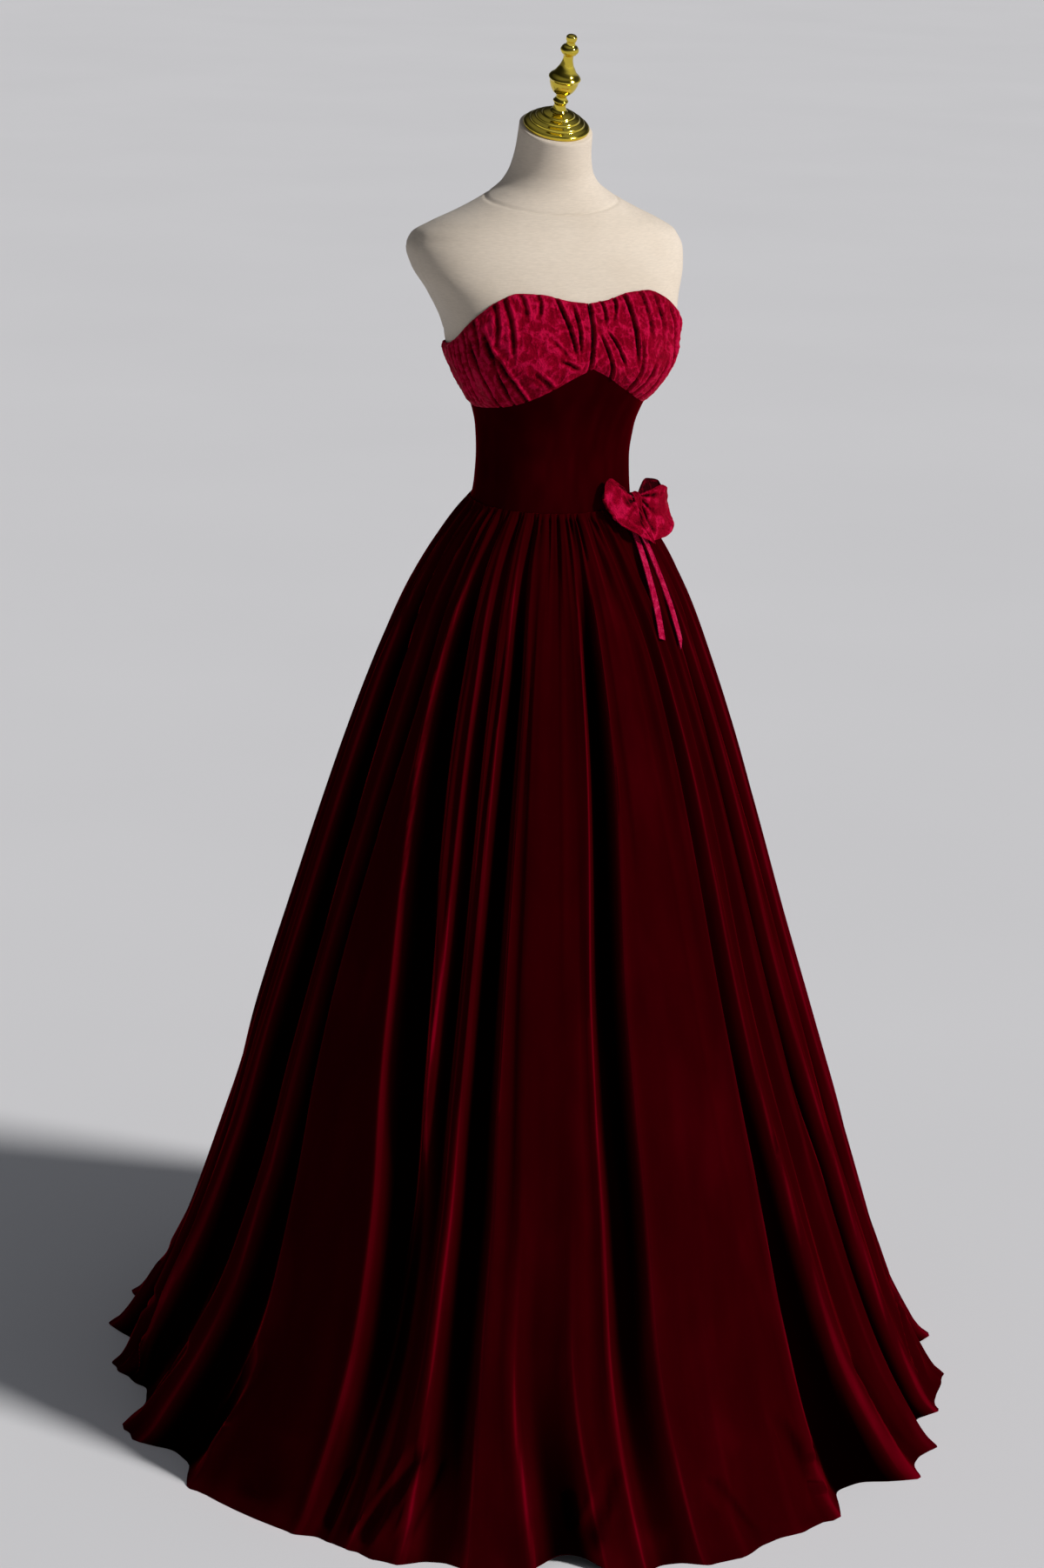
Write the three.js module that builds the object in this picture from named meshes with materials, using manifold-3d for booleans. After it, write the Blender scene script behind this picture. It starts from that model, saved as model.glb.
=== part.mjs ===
// A strapless, floor-length velvet evening dress on the limbless display form that holds it up.
// Millimetres, +Z up. The wearer faces -Y and the wearer's left is +X. The origin is on the floor,
// under the middle of the stand's round foot. A bearing is an angle in degrees round the body:
// 0 is the centre front, 90 the wearer's left side and 180 the centre back.
import * as THREE from "three";
import { mergeVertices } from "three/addons/utils/BufferGeometryUtils.js";
import Module from "manifold-3d";

const wasm = await Module();
wasm.setup();

// ---- Driving dimensions ----
const CLOTH = 1.8; // thickness of the bodice walls
const SKIRT_CLOTH = 2.0; // thickness of the skirt wall
const BODICE_EASE = 1.2; // air between the form and the bodice
const SEAM_GAP = 0.3; // between two pieces that are sewn together
const FACE_GAP = 0.3; // between two hard pieces that meet
const WAIST_SEAM_Z = 1217;
const WAIST_SEAM_DIP = 6; // the waist seam is this much lower in front than at the sides
const ZIP_TOP_Z = 1402;
const ZIP_END_Z = 1070;
const ZIP_WIDTH = 2.0;
const NECK_TOP_Z = 1679;
const NECK_TILT = 20; // degrees that the neck's top faces forward
const NECK_TILT_FROM_Z = 1590; // where the rings of the neck start to tilt
const FORM_BASE_Z = 980;
const POLE_RADIUS = 12.5;
const FOOT_RADIUS = 150;
const FOOT_TOP_RADIUS = 147;
const FOOT_HEIGHT = 12;

// Colours of the real materials.
const FINISHES = {
  velvet: { color: 0x3a0610, roughness: 0.95, metalness: 0 },
  crushed: { color: 0x9a0a30, roughness: 0.6, metalness: 0 },
  linen: { color: 0xd9cdbb, roughness: 0.9, metalness: 0 },
  gold: { color: 0xc9a637, roughness: 0.2, metalness: 1 },
  steel: { color: 0x2a2a2c, roughness: 0.5, metalness: 0.6 },
  zip: { color: 0x2a050b, roughness: 0.5, metalness: 0 },
};

// ---- Tables ----

// Level rings of the body, from the form's base to the top of its neck. Each ring is a superellipse
// about (0, centreY): halfWidth to each side, front and back its depths, and squareFront and
// squareBack their exponents, where 2 is an ellipse.
const BODY = [
  { z: 980, halfWidth: 122, front: 84, back: 94, centreY: 4, squareFront: 2.2, squareBack: 2.2 },
  { z: 1000, halfWidth: 132, front: 93, back: 103, centreY: 4, squareFront: 2.2, squareBack: 2.2 },
  { z: 1060, halfWidth: 136, front: 97, back: 107, centreY: 4, squareFront: 2.2, squareBack: 2.2 },
  { z: 1110, halfWidth: 130, front: 93, back: 102, centreY: 2, squareFront: 2.2, squareBack: 2.2 },
  { z: 1160, halfWidth: 116, front: 85, back: 92, centreY: -2, squareFront: 2.1, squareBack: 2.1 },
  { z: 1205, halfWidth: 103, front: 77, back: 80, centreY: -5, squareFront: 2.1, squareBack: 2.1 },
  { z: 1240, halfWidth: 98, front: 74, back: 74, centreY: -7, squareFront: 2.1, squareBack: 2.1 },
  { z: 1273, halfWidth: 96.5, front: 73, back: 72, centreY: -7, squareFront: 2.1, squareBack: 2.1 },
  { z: 1310, halfWidth: 99, front: 78, back: 74, centreY: -8, squareFront: 2.2, squareBack: 2.1 },
  { z: 1345, halfWidth: 108, front: 91, back: 80, centreY: -8, squareFront: 2.4, squareBack: 2.1 },
  { z: 1375, halfWidth: 124, front: 107, back: 86, centreY: -7, squareFront: 2.7, squareBack: 2.2 },
  { z: 1408, halfWidth: 139, front: 121, back: 91, centreY: -4, squareFront: 2.9, squareBack: 2.3 },
  { z: 1440, halfWidth: 145, front: 121, back: 94, centreY: 1, squareFront: 2.9, squareBack: 2.4 },
  { z: 1477, halfWidth: 160, front: 120, back: 85, centreY: 16, squareFront: 2.5, squareBack: 2.6 },
  { z: 1508, halfWidth: 177, front: 111, back: 69, centreY: 34, squareFront: 2.3, squareBack: 2.7 },
  { z: 1530, halfWidth: 182, front: 102, back: 58, centreY: 44, squareFront: 2.2, squareBack: 2.7 },
  { z: 1547, halfWidth: 175, front: 96, back: 48, centreY: 48, squareFront: 2.1, squareBack: 2.5 },
  { z: 1561, halfWidth: 152, front: 85, back: 43, centreY: 45, squareFront: 2.1, squareBack: 2.3 },
  { z: 1575, halfWidth: 122, front: 73, back: 41, centreY: 41, squareFront: 2, squareBack: 2.1 },
  { z: 1587, halfWidth: 98, front: 64, back: 41, centreY: 39, squareFront: 2, squareBack: 2 },
  { z: 1598, halfWidth: 79, front: 57, back: 42, centreY: 36, squareFront: 2, squareBack: 2 },
  { z: 1611, halfWidth: 62, front: 52, back: 44, centreY: 33, squareFront: 2, squareBack: 2 },
  { z: 1628, halfWidth: 52, front: 48, back: 47, centreY: 29, squareFront: 2, squareBack: 2 },
  { z: 1653, halfWidth: 47, front: 46.6, back: 46.6, centreY: 24, squareFront: 2, squareBack: 2 },
  { z: 1679, halfWidth: 45.5, front: 45.5, back: 45.5, centreY: 19, squareFront: 2, squareBack: 2 },
];

// The bodice's two curved edges, alike on both sides: the sweetheart neckline and the seam under the bust.
const NECKLINE = [
  { bearing: 0, z: 1477 },
  { bearing: 12, z: 1480 },
  { bearing: 27, z: 1487 },
  { bearing: 38, z: 1488 },
  { bearing: 48, z: 1479 },
  { bearing: 56, z: 1465 },
  { bearing: 66, z: 1447 },
  { bearing: 78, z: 1428 },
  { bearing: 90, z: 1418 },
  { bearing: 130, z: 1411 },
  { bearing: 180, z: 1408 },
];
const UNDERBUST = [
  { bearing: 0, z: 1403 },
  { bearing: 12, z: 1391 },
  { bearing: 24, z: 1376 },
  { bearing: 44, z: 1357 },
  { bearing: 60, z: 1348 },
  { bearing: 90, z: 1340 },
  { bearing: 180, z: 1337 },
];

// The crests of the skirt's folds at each height: an ellipse about (centreX, centreY).
const SKIRT = [
  { z: 1217, halfWidth: 106.6, halfDepth: 83, centreX: 0, centreY: -5 },
  { z: 1200, halfWidth: 121, halfDepth: 98, centreX: 0, centreY: -6 },
  { z: 1175, halfWidth: 139, halfDepth: 116, centreX: 0, centreY: -6 },
  { z: 1140, halfWidth: 160, halfDepth: 138, centreX: 0, centreY: -5 },
  { z: 1090, halfWidth: 185, halfDepth: 166, centreX: 0, centreY: -4 },
  { z: 1020, halfWidth: 213, halfDepth: 198, centreX: 0, centreY: -3 },
  { z: 930, halfWidth: 245, halfDepth: 235, centreX: 1, centreY: -1 },
  { z: 810, halfWidth: 283, halfDepth: 278, centreX: 2, centreY: 0 },
  { z: 670, halfWidth: 325, halfDepth: 324, centreX: 3, centreY: 0 },
  { z: 520, halfWidth: 371, halfDepth: 371, centreX: 6, centreY: 0 },
  { z: 370, halfWidth: 415, halfDepth: 415, centreX: 11, centreY: 0 },
  { z: 230, halfWidth: 460, halfDepth: 460, centreX: 11, centreY: 0 },
  { z: 120, halfWidth: 501, halfDepth: 501, centreX: 7, centreY: 0 },
  { z: 50, halfWidth: 534, halfDepth: 534, centreX: 3, centreY: 0 },
  { z: 12, halfWidth: 555, halfDepth: 555, centreX: 1, centreY: 0 },
  { z: 0, halfWidth: 568, halfDepth: 568, centreX: 0, centreY: 0 },
];

// The skirt's valleys, one row each, right round from the right side seam. waist, hip, mid, low and
// hem are bearings down its length. gather, drape and sweep are its depths at the waist, half-way
// down and at the hem. narrow and open are its half-widths in degrees half-way down and at the hem.
// reach is how far the hem's lobe after it stands out, and lift how far it raises the hem.
const FOLD_COLUMNS = [
  "waist", "hip", "mid", "low", "hem", "gather", "drape", "sweep", "narrow", "open", "reach", "lift",
];
const FOLDS = [
  [-87, -87, -87, -89, -97, 5, 25, 34, 4.6, 5, -6, 0],
  [-71, -69.5, -73, -73, -77, 5, 13, 26, 1.9, 4.5, -7, 0],
  [-58, -56, -49, -46.5, -51, 6, 24, 12, 3.2, 3, 4, 0],
  [-47, -42.7, -40.3, -41, -43, 5, 13, 5, 1.7, 2, 10, 0],
  [-36, -32.4, -32.2, -33, -32, 6, 20, 10, 2.3, 2.6, 0, 0],
  [-19, -18, -19, -20, -15, 4, 1, 26, 3, 4, 10, 16],
  [-4, -3.8, -6.2, -5.8, -2, 5, 21, 9, 2.5, 2.5, 18, 0],
  [9, 14, 11, 11, 12, 6, 1, 6, 3, 3, 4, 0],
  [20, 25.5, 24.5, 27, 31, 5, 12, 36, 1.8, 4.6, 24, 0],
  [33, 36, 34, 38, 43, 4, 8, 7, 1.7, 2.5, 16, 0],
  [46, 45, 42.5, 48, 53, 5, 14, 20, 2.2, 3, 2, 0],
  [59, 57, 55, 59, 62, 5, 14, 12, 2.6, 2.6, 6, 0],
  [71, 71, 70, 72, 75, 5, 9, 22, 2, 3.4, 22, 6],
  [84, 84, 84, 86, 89, 5, 20, 28, 3.2, 4, 14, 0],
  [97, 98, 98, 100, 101, 5, 3, 12, 2.6, 3, 18, 0],
  [110, 112, 112, 113, 114, 6, 22, 30, 2.8, 4.4, 8, 10],
  [123, 124, 126, 127, 127, 5, 10, 14, 1.9, 3, 16, 0],
  [136, 138, 139, 140, 142, 5, 23, 32, 3, 4.2, 22, 0],
  [150, 151, 152, 153, 153, 5, 5, 8, 2.6, 2.8, 20, 0],
  [164, 165, 165, 164, 165, 5, 19, 27, 2.4, 4, 24, 8],
  [180, 180, 180, 180, 180, 3.4, 0, 0, 3, 3, 24, 0],
  [195, 195, 196, 197, 197, 5, 21, 28, 2.7, 4, 16, 0],
  [208, 208, 207, 206, 208, 5, 8, 12, 1.9, 2.8, 20, 0],
  [221, 220, 219, 219, 221, 6, 23, 32, 3, 4.4, 10, 10],
  [234, 233, 233, 234, 234, 5, 11, 11, 2.1, 2.8, 6, 0],
  [247, 246, 246, 247, 246, 5, 19, 26, 2.6, 3.6, -12, 0],
  [260, 259, 258, 257, 255, 5, 8, 10, 2.2, 2.4, -12, 0],
].map((row) => Object.fromEntries(FOLD_COLUMNS.map((name, i) => [name, row[i]])));
const CENTRE_BACK_FOLD = FOLDS.findIndex((f) => f.waist === 180);
const LEFT_SIDE_FOLD = FOLDS.findIndex((f) => f.waist === 84);

// The bow's loops, from the front of the knot, out round the tip and back behind it. out is the
// distance away from the knot to that loop's side, up along the dress and off away from the cloth,
// for the band's upper and lower edges.
const BOW_LOOP_LEFT = [
  { upOut: 2, upUp: 4.5, upOff: 9.5, lowOut: 2, lowUp: -5.5, lowOff: 9.5 },
  { upOut: 8, upUp: 6.5, upOff: 11.2, lowOut: 8, lowUp: -7.7, lowOff: 10.8 },
  { upOut: 22, upUp: 10, upOff: 19, lowOut: 8, lowUp: -32, lowOff: 11 },
  { upOut: 37, upUp: 13, upOff: 23, lowOut: 10, lowUp: -54, lowOff: 10 },
  { upOut: 48, upUp: 10, upOff: 19, lowOut: 30, lowUp: -52, lowOff: 12 },
  { upOut: 54, upUp: 8, upOff: 10, lowOut: 52, lowUp: -36, lowOff: 9 },
  { upOut: 52, upUp: 24, upOff: 3, lowOut: 43, lowUp: -15, lowOff: 4 },
  { upOut: 35, upUp: 29, upOff: 1, lowOut: 27, lowUp: -10, lowOff: 3 },
  { upOut: 8, upUp: 6, upOff: 4.5, lowOut: 8, lowUp: -6, lowOff: 4.5 },
  { upOut: 2, upUp: 4.5, upOff: 4.5, lowOut: 2, lowUp: -4.5, lowOff: 4.5 },
];
const BOW_LOOP_RIGHT = [
  { upOut: 2, upUp: 4.5, upOff: 9.5, lowOut: 2, lowUp: -5.5, lowOff: 9.5 },
  { upOut: 8, upUp: 5.5, upOff: 10.3, lowOut: 8, lowUp: -6.3, lowOff: 10.3 },
  { upOut: 22, upUp: 20, upOff: 17, lowOut: -1, lowUp: -33, lowOff: 17 },
  { upOut: 37, upUp: 31, upOff: 17, lowOut: -7, lowUp: -60, lowOff: 16 },
  { upOut: 45, upUp: 25, upOff: 14, lowOut: 11, lowUp: -49, lowOff: 16 },
  { upOut: 49, upUp: 8, upOff: 9, lowOut: 38, lowUp: -23, lowOff: 10 },
  { upOut: 43, upUp: 17, upOff: 3, lowOut: 38, lowUp: -8, lowOff: 4 },
  { upOut: 28, upUp: 18, upOff: 1, lowOut: 22, lowUp: -9, lowOff: 2 },
  { upOut: 8, upUp: 6, upOff: 4.5, lowOut: 8, lowUp: -6, lowOff: 4.5 },
  { upOut: 2, upUp: 4.5, upOff: 4.5, lowOut: 2, lowUp: -4.5, lowOff: 4.5 },
];

// The two narrow ribbons that hang from the bow: bearings and heights of their ends.
const RIBBONS = [
  { name: "ribbon_tail_inner", topBearing: 45.6, topZ: 1211, endBearing: 30, endZ: 1062, slant: -2 },
  { name: "ribbon_tail_outer", topBearing: 49.8, topZ: 1210.5, endBearing: 40.5, endZ: 1050, slant: 5 },
];

// The turned finial and the stepped cap under it: distance along the axis and radius.
const FINIAL = [
  { along: 22, radius: 11 }, { along: 24.9, radius: 8.5 }, { along: 29.8, radius: 7.4 },
  { along: 32.7, radius: 8 }, { along: 35.1, radius: 9.6 }, { along: 37.5, radius: 8 },
  { along: 40.4, radius: 6.6 }, { along: 43.3, radius: 7.6 }, { along: 48.2, radius: 12.6 },
  { along: 54.1, radius: 16 }, { along: 59.9, radius: 17.8 }, { along: 63.8, radius: 18.4 },
  { along: 66.3, radius: 20 }, { along: 68.6, radius: 18.6 }, { along: 72.5, radius: 14.6 },
  { along: 77.4, radius: 11.4 }, { along: 84.2, radius: 8 }, { along: 92, radius: 6.2 },
  { along: 95.8, radius: 6.4 }, { along: 98.7, radius: 9.4 }, { along: 103.1, radius: 11.4 },
  { along: 107.5, radius: 9.4 }, { along: 110.4, radius: 6 }, { along: 113.3, radius: 5.4 },
  { along: 116.2, radius: 6.6 }, { along: 119.7, radius: 6.8 }, { along: 122.1, radius: 5 },
];
const FINIAL_TIP = 123;
const CAP = [
  { along: 0, radius: 41.2 }, { along: 3.5, radius: 41.8 }, { along: 6, radius: 39.4 },
  { along: 7.5, radius: 34.4 }, { along: 10.5, radius: 33.8 }, { along: 12, radius: 28 },
  { along: 15, radius: 27 }, { along: 16.5, radius: 21 }, { along: 19, radius: 19.8 },
  { along: 21.7, radius: 12.6 },
];

// ---- Small mathematics ----
const radians = THREE.MathUtils.degToRad;
const clamp = THREE.MathUtils.clamp;

// A smooth curve through (xs[i], ys[i]), where xs rises, by cubic Hermite pieces.
function smoothThrough(xs, ys, x) {
  const last = xs.length - 1;
  if (x <= xs[0]) return ys[0];
  if (x >= xs[last]) return ys[last];
  let i = 0;
  while (x > xs[i + 1]) i += 1;
  const rise = (k) => (ys[k + 1] - ys[k]) / (xs[k + 1] - xs[k]);
  const slope = (k) => {
    if (k === 0) return rise(0);
    if (k === last) return rise(last - 1);
    const before = rise(k - 1);
    const after = rise(k);
    return before * after <= 0 ? 0 : (2 * before * after) / (before + after);
  };
  const width = xs[i + 1] - xs[i];
  const t = (x - xs[i]) / width;
  const a = ys[i];
  const b = ys[i + 1];
  return (
    a * (1 + 2 * t) * (1 - t) ** 2 +
    b * (3 - 2 * t) * t ** 2 +
    width * (slope(i) * t * (1 - t) ** 2 - slope(i + 1) * (1 - t) * t ** 2)
  );
}

// One column of a table, read at a value of its key column.
function readTable(table, key, column, at) {
  const rows = [...table].sort((p, q) => p[key] - q[key]);
  return smoothThrough(rows.map((r) => r[key]), rows.map((r) => r[column]), at);
}
const memo = new Map();
function column(table, key, name, at) {
  const label = `${key}:${name}:${at.toFixed(4)}`;
  if (!memo.has(table)) memo.set(table, new Map());
  const known = memo.get(table);
  if (!known.has(label)) known.set(label, readTable(table, key, name, at));
  return known.get(label);
}

// The signed difference of two bearings, from -180 to 180.
const turnBetween = (a, b) => ((((a - b) % 360) + 540) % 360) - 180;

// ---- Surfaces ----

// The body's own surface.
function bodyPoint(bearing, z) {
  const at = (name) => column(BODY, "z", name, z);
  const s = Math.sin(radians(bearing));
  const c = Math.cos(radians(bearing));
  const depth = c > 0 ? at("front") : at("back");
  const square = c > 0 ? at("squareFront") : at("squareBack");
  const r = ((Math.abs(s) / at("halfWidth")) ** square + (Math.abs(c) / depth) ** square) ** (-1 / square);
  return new THREE.Vector3(r * s, at("centreY") - r * c, z);
}

const FOLD_HEIGHTS = [0, 250, 620, 1000, 1170, 1200, WAIST_SEAM_Z];
const SEAM_GATHER = 0.6; // depth of a gather where it is sewn into the waist seam
const foldBearing = (f, z) =>
  smoothThrough([0, 250, 620, 1000, WAIST_SEAM_Z], [f.hem, f.low, f.mid, f.hip, f.waist], z);
function foldDepth(f, z) {
  const low = (f.sweep + f.drape) / 2;
  const high = 0.75 * f.drape + 0.25 * f.gather;
  const depths = [f.sweep, low, f.drape, high, f.gather, 0.8 * f.gather, SEAM_GATHER];
  return smoothThrough(FOLD_HEIGHTS, depths, z);
}
const GATHER_HALF_WIDTH = 3.1;
function foldHalfWidth(f, z) {
  const low = (f.open + f.narrow) / 2;
  const gathers = [GATHER_HALF_WIDTH, GATHER_HALF_WIDTH, GATHER_HALF_WIDTH];
  return smoothThrough(FOLD_HEIGHTS, [f.open, low, f.narrow, f.narrow + 0.3, ...gathers], z);
}

// A valley's shape: 1 in its middle, and a little below 0 where the cloth rolls over beside it.
function valley(x) {
  const roll = 0.16 * Math.exp(-((Math.abs(x) - 2.1) ** 2) / 0.8);
  return Math.exp(-x * x) - roll;
}

// The outside of the skirt. Near the top its rings dip with the waist seam, and near the floor its
// lobes stand out between the folds and are lifted in places.
const SEAM_DIP_FADES_BELOW = 1080;
const FLOOR_LOBES_BELOW = 240;
const FOLD_ENDS = 40; // degrees from a fold's middle, where it has no depth left
const LIFT_HALF_WIDTH = 4.5;
function skirtPoint(bearing, z) {
  const seamZ = waistSeamZ(bearing);
  const share = clamp((z - SEAM_DIP_FADES_BELOW) / (seamZ - SEAM_DIP_FADES_BELOW), 0, 1);
  const ringZ = z + (WAIST_SEAM_Z - seamZ) * share;
  const at = (name) => column(SKIRT, "z", name, ringZ);
  let depth = 0;
  let reach = 0;
  let lift = 0;
  const nearFloor = clamp(1 - z / FLOOR_LOBES_BELOW, 0, 1) ** 2;
  FOLDS.forEach((f, i) => {
    const away = turnBetween(bearing, foldBearing(f, ringZ));
    if (Math.abs(away) > FOLD_ENDS) return;
    depth += foldDepth(f, ringZ) * valley(away / foldHalfWidth(f, ringZ));
    lift += f.lift * nearFloor * Math.exp(-((away / LIFT_HALF_WIDTH) ** 2));
    const next = FOLDS[(i + 1) % FOLDS.length];
    const gap = turnBetween(next.hem, f.hem);
    const fromLobe = turnBetween(bearing, f.hem + gap / 2) / (0.6 * gap);
    reach += f.reach * nearFloor * Math.exp(-(fromLobe ** 2));
  });
  const s = Math.sin(radians(bearing));
  const c = Math.cos(radians(bearing));
  const crest = ((s / at("halfWidth")) ** 2 + (c / at("halfDepth")) ** 2) ** -0.5;
  const r = crest - depth + reach;
  return new THREE.Vector3(at("centreX") + r * s, at("centreY") - r * c, z + lift);
}

// The outward unit normal of a surface given as a function of bearing and height.
function normalOf(surface, bearing, z) {
  const turn = 0.12;
  const step = 0.6;
  const across = surface(bearing + turn, z).sub(surface(bearing - turn, z));
  const up = surface(bearing, z + step).sub(surface(bearing, z - step));
  return across.cross(up).normalize();
}
const movedOut = (surface, bearing, z, distance) =>
  surface(bearing, z).addScaledVector(normalOf(surface, bearing, z), distance);

const necklineZ = (bearing) => column(NECKLINE, "bearing", "z", Math.abs(turnBetween(bearing, 0)));
const underbustZ = (bearing) => column(UNDERBUST, "bearing", "z", Math.abs(turnBetween(bearing, 0)));
const waistSeamZ = (bearing) => WAIST_SEAM_Z - WAIST_SEAM_DIP * Math.cos(radians(bearing));

// The ruched bust cloth stands off the form in soft folds. They lean towards the wearer's left as
// they fall.
const RUCHE_SPAN = 10; // degrees from one ruche to the next
const RUCHE_HEIGHT = 3.4;
const RUCHE_LEAN = 9; // degrees that a ruche leans over its height
function ruchedBearing(bearing, up) {
  return bearing + RUCHE_LEAN * (0.5 - up) * Math.abs(Math.sin(radians(2 * bearing)));
}
function rucheHeight(bearing, up) {
  const phase = turnBetween(bearing, 0) / RUCHE_SPAN;
  const uneven = 0.75 + 0.25 * Math.sin(phase * 2.3 + 1);
  return RUCHE_HEIGHT * uneven * (0.5 - 0.5 * Math.cos(phase * 2 * Math.PI)) * (1 - 0.45 * up);
}

// ---- Geometry makers ----

function geometryOf(vertices, faces) {
  const geometry = new THREE.BufferGeometry();
  const numbers = vertices.flatMap((v) => [v.x, v.y, v.z]);
  geometry.setAttribute("position", new THREE.Float32BufferAttribute(numbers, 3));
  geometry.setIndex(faces.flat());
  geometry.computeVertexNormals();
  return geometry;
}

// A closed wall over a grid. outer and inner give the point at a column and a row; columns run to
// rising bearings and rows upwards, as seen from outside.
function wall(columns, rows, outer, inner) {
  const vertices = [];
  const faces = [];
  const index = (side, c, r) => side * (columns + 1) * (rows + 1) + c * (rows + 1) + r;
  const quad = (a, b, c, d) => faces.push([a, b, c], [a, c, d]);
  for (const point of [outer, inner]) {
    for (let c = 0; c <= columns; c += 1) {
      for (let r = 0; r <= rows; r += 1) vertices.push(point(c, r));
    }
  }
  for (let c = 0; c < columns; c += 1) {
    for (let r = 0; r < rows; r += 1) {
      quad(index(0, c, r), index(0, c + 1, r), index(0, c + 1, r + 1), index(0, c, r + 1));
      quad(index(1, c, r), index(1, c, r + 1), index(1, c + 1, r + 1), index(1, c + 1, r));
    }
    quad(index(0, c, 0), index(1, c, 0), index(1, c + 1, 0), index(0, c + 1, 0));
    quad(index(0, c, rows), index(0, c + 1, rows), index(1, c + 1, rows), index(1, c, rows));
  }
  for (let r = 0; r < rows; r += 1) {
    quad(index(0, 0, r), index(0, 0, r + 1), index(1, 0, r + 1), index(1, 0, r));
    quad(index(0, columns, r), index(1, columns, r), index(1, columns, r + 1), index(0, columns, r + 1));
  }
  return geometryOf(vertices, faces);
}

// A solid through closed rings, the lowest first, each a list of points anticlockwise from above.
function loft(rings) {
  const around = rings[0].length;
  const vertices = rings.flat();
  const faces = [];
  for (let k = 0; k + 1 < rings.length; k += 1) {
    for (let i = 0; i < around; i += 1) {
      const j = (i + 1) % around;
      const a = k * around + i;
      const b = k * around + j;
      faces.push([a, b, b + around], [a, b + around, a + around]);
    }
  }
  const middle = (ring) => ring.reduce((sum, p) => sum.add(p), new THREE.Vector3()).divideScalar(around);
  const bottom = vertices.push(middle(rings[0])) - 1;
  const top = vertices.push(middle(rings.at(-1))) - 1;
  const topStart = (rings.length - 1) * around;
  for (let i = 0; i < around; i += 1) {
    const j = (i + 1) % around;
    faces.push([bottom, j, i], [top, topStart + i, topStart + j]);
  }
  return geometryOf(vertices, faces);
}

// A turned solid about +Z from rows of along and radius.
function turned(rows, tip, segments) {
  const profile = [new THREE.Vector2(0, rows[0].along)];
  rows.forEach((row) => profile.push(new THREE.Vector2(row.radius, row.along)));
  profile.push(new THREE.Vector2(0, tip));
  return new THREE.LatheGeometry(profile, segments).rotateX(Math.PI / 2);
}

// A three.js geometry as a manifold-3d solid, and back.
function solidOf(geometry) {
  const bare = geometry.clone();
  bare.deleteAttribute("normal");
  bare.deleteAttribute("uv");
  const merged = mergeVertices(bare);
  return new wasm.Manifold(
    new wasm.Mesh({
      numProp: 3,
      vertProperties: merged.attributes.position.array,
      triVerts: new Uint32Array(merged.index.array),
    }),
  );
}
function geometryFromSolid(solid) {
  const mesh = solid.getMesh();
  const geometry = new THREE.BufferGeometry();
  const numbers = new Float32Array(mesh.vertProperties);
  geometry.setAttribute("position", new THREE.BufferAttribute(numbers, 3));
  geometry.setIndex(new THREE.BufferAttribute(new Uint32Array(mesh.triVerts), 1));
  geometry.computeVertexNormals();
  return geometry;
}

const dress = new THREE.Group();
function addMesh(name, geometry, finish, parent = dress) {
  const mesh = new THREE.Mesh(geometry, new THREE.MeshStandardMaterial(FINISHES[finish]));
  mesh.name = name;
  parent.add(mesh);
  return mesh;
}

// ---- The display form and its stand ----

const FORM_COLUMNS = 40;
const FORM_RING_HEIGHTS = [
  980, 1000, 1060, 1115, 1160, 1205, 1240, 1273, 1300, 1323, 1345, 1368, 1390, 1412, 1438, 1462, 1486,
  1508, 1524, 1537, 1548, 1560, 1575, 1587, 1598, 1611, 1628, 1653, 1679,
];
// Points crowd towards the sides, where the shoulders turn sharply.
const FORM_CROWDING = 14;
function formBearing(i) {
  const even = (360 * i) / FORM_COLUMNS;
  return even + FORM_CROWDING * Math.sin(radians(2 * even));
}
function neckTiltedPoint(bearing, z) {
  const point = bodyPoint(bearing, z);
  const share = clamp((z - NECK_TILT_FROM_Z) / (NECK_TOP_Z - NECK_TILT_FROM_Z), 0, 1);
  point.z += (point.y - column(BODY, "z", "centreY", z)) * Math.tan(radians(NECK_TILT)) * share;
  return point;
}
function buildForm() {
  const rings = FORM_RING_HEIGHTS.map((z) =>
    Array.from({ length: FORM_COLUMNS }, (_, i) => neckTiltedPoint(formBearing(i), z)),
  );
  addMesh("form_torso", loft(rings), "linen");

  const crown = new THREE.Group();
  crown.position.set(0, column(BODY, "z", "centreY", NECK_TOP_Z), NECK_TOP_Z);
  crown.rotation.x = radians(NECK_TILT);
  dress.add(crown);
  const cap = addMesh("form_cap", turned(CAP, CAP.at(-1).along, 24), "gold", crown);
  cap.position.z = FACE_GAP;
  const finial = addMesh("form_finial", turned(FINIAL, FINIAL_TIP, 14), "gold", crown);
  finial.position.z = 2 * FACE_GAP;
}
function buildStand() {
  const foot = new THREE.CylinderGeometry(FOOT_TOP_RADIUS, FOOT_RADIUS, FOOT_HEIGHT, 32);
  foot.rotateX(Math.PI / 2);
  addMesh("stand_foot", foot, "steel").position.z = FOOT_HEIGHT / 2;
  const low = FOOT_HEIGHT + FACE_GAP;
  const high = FORM_BASE_Z - FACE_GAP;
  const pole = new THREE.CylinderGeometry(POLE_RADIUS, POLE_RADIUS, high - low, 20);
  pole.rotateX(Math.PI / 2);
  addMesh("stand_pole", pole, "steel").position.z = (low + high) / 2;
}

// ---- The bodice ----

// Even bearings from one to another, each end drawn in by half a seam's gap, or by the zip's.
function panelBearings(from, to, columns, insetFrom, insetTo, radius) {
  const start = from + THREE.MathUtils.radToDeg(insetFrom / radius);
  const end = to - THREE.MathUtils.radToDeg(insetTo / radius);
  return Array.from({ length: columns + 1 }, (_, i) => start + ((end - start) * i) / columns);
}
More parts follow.
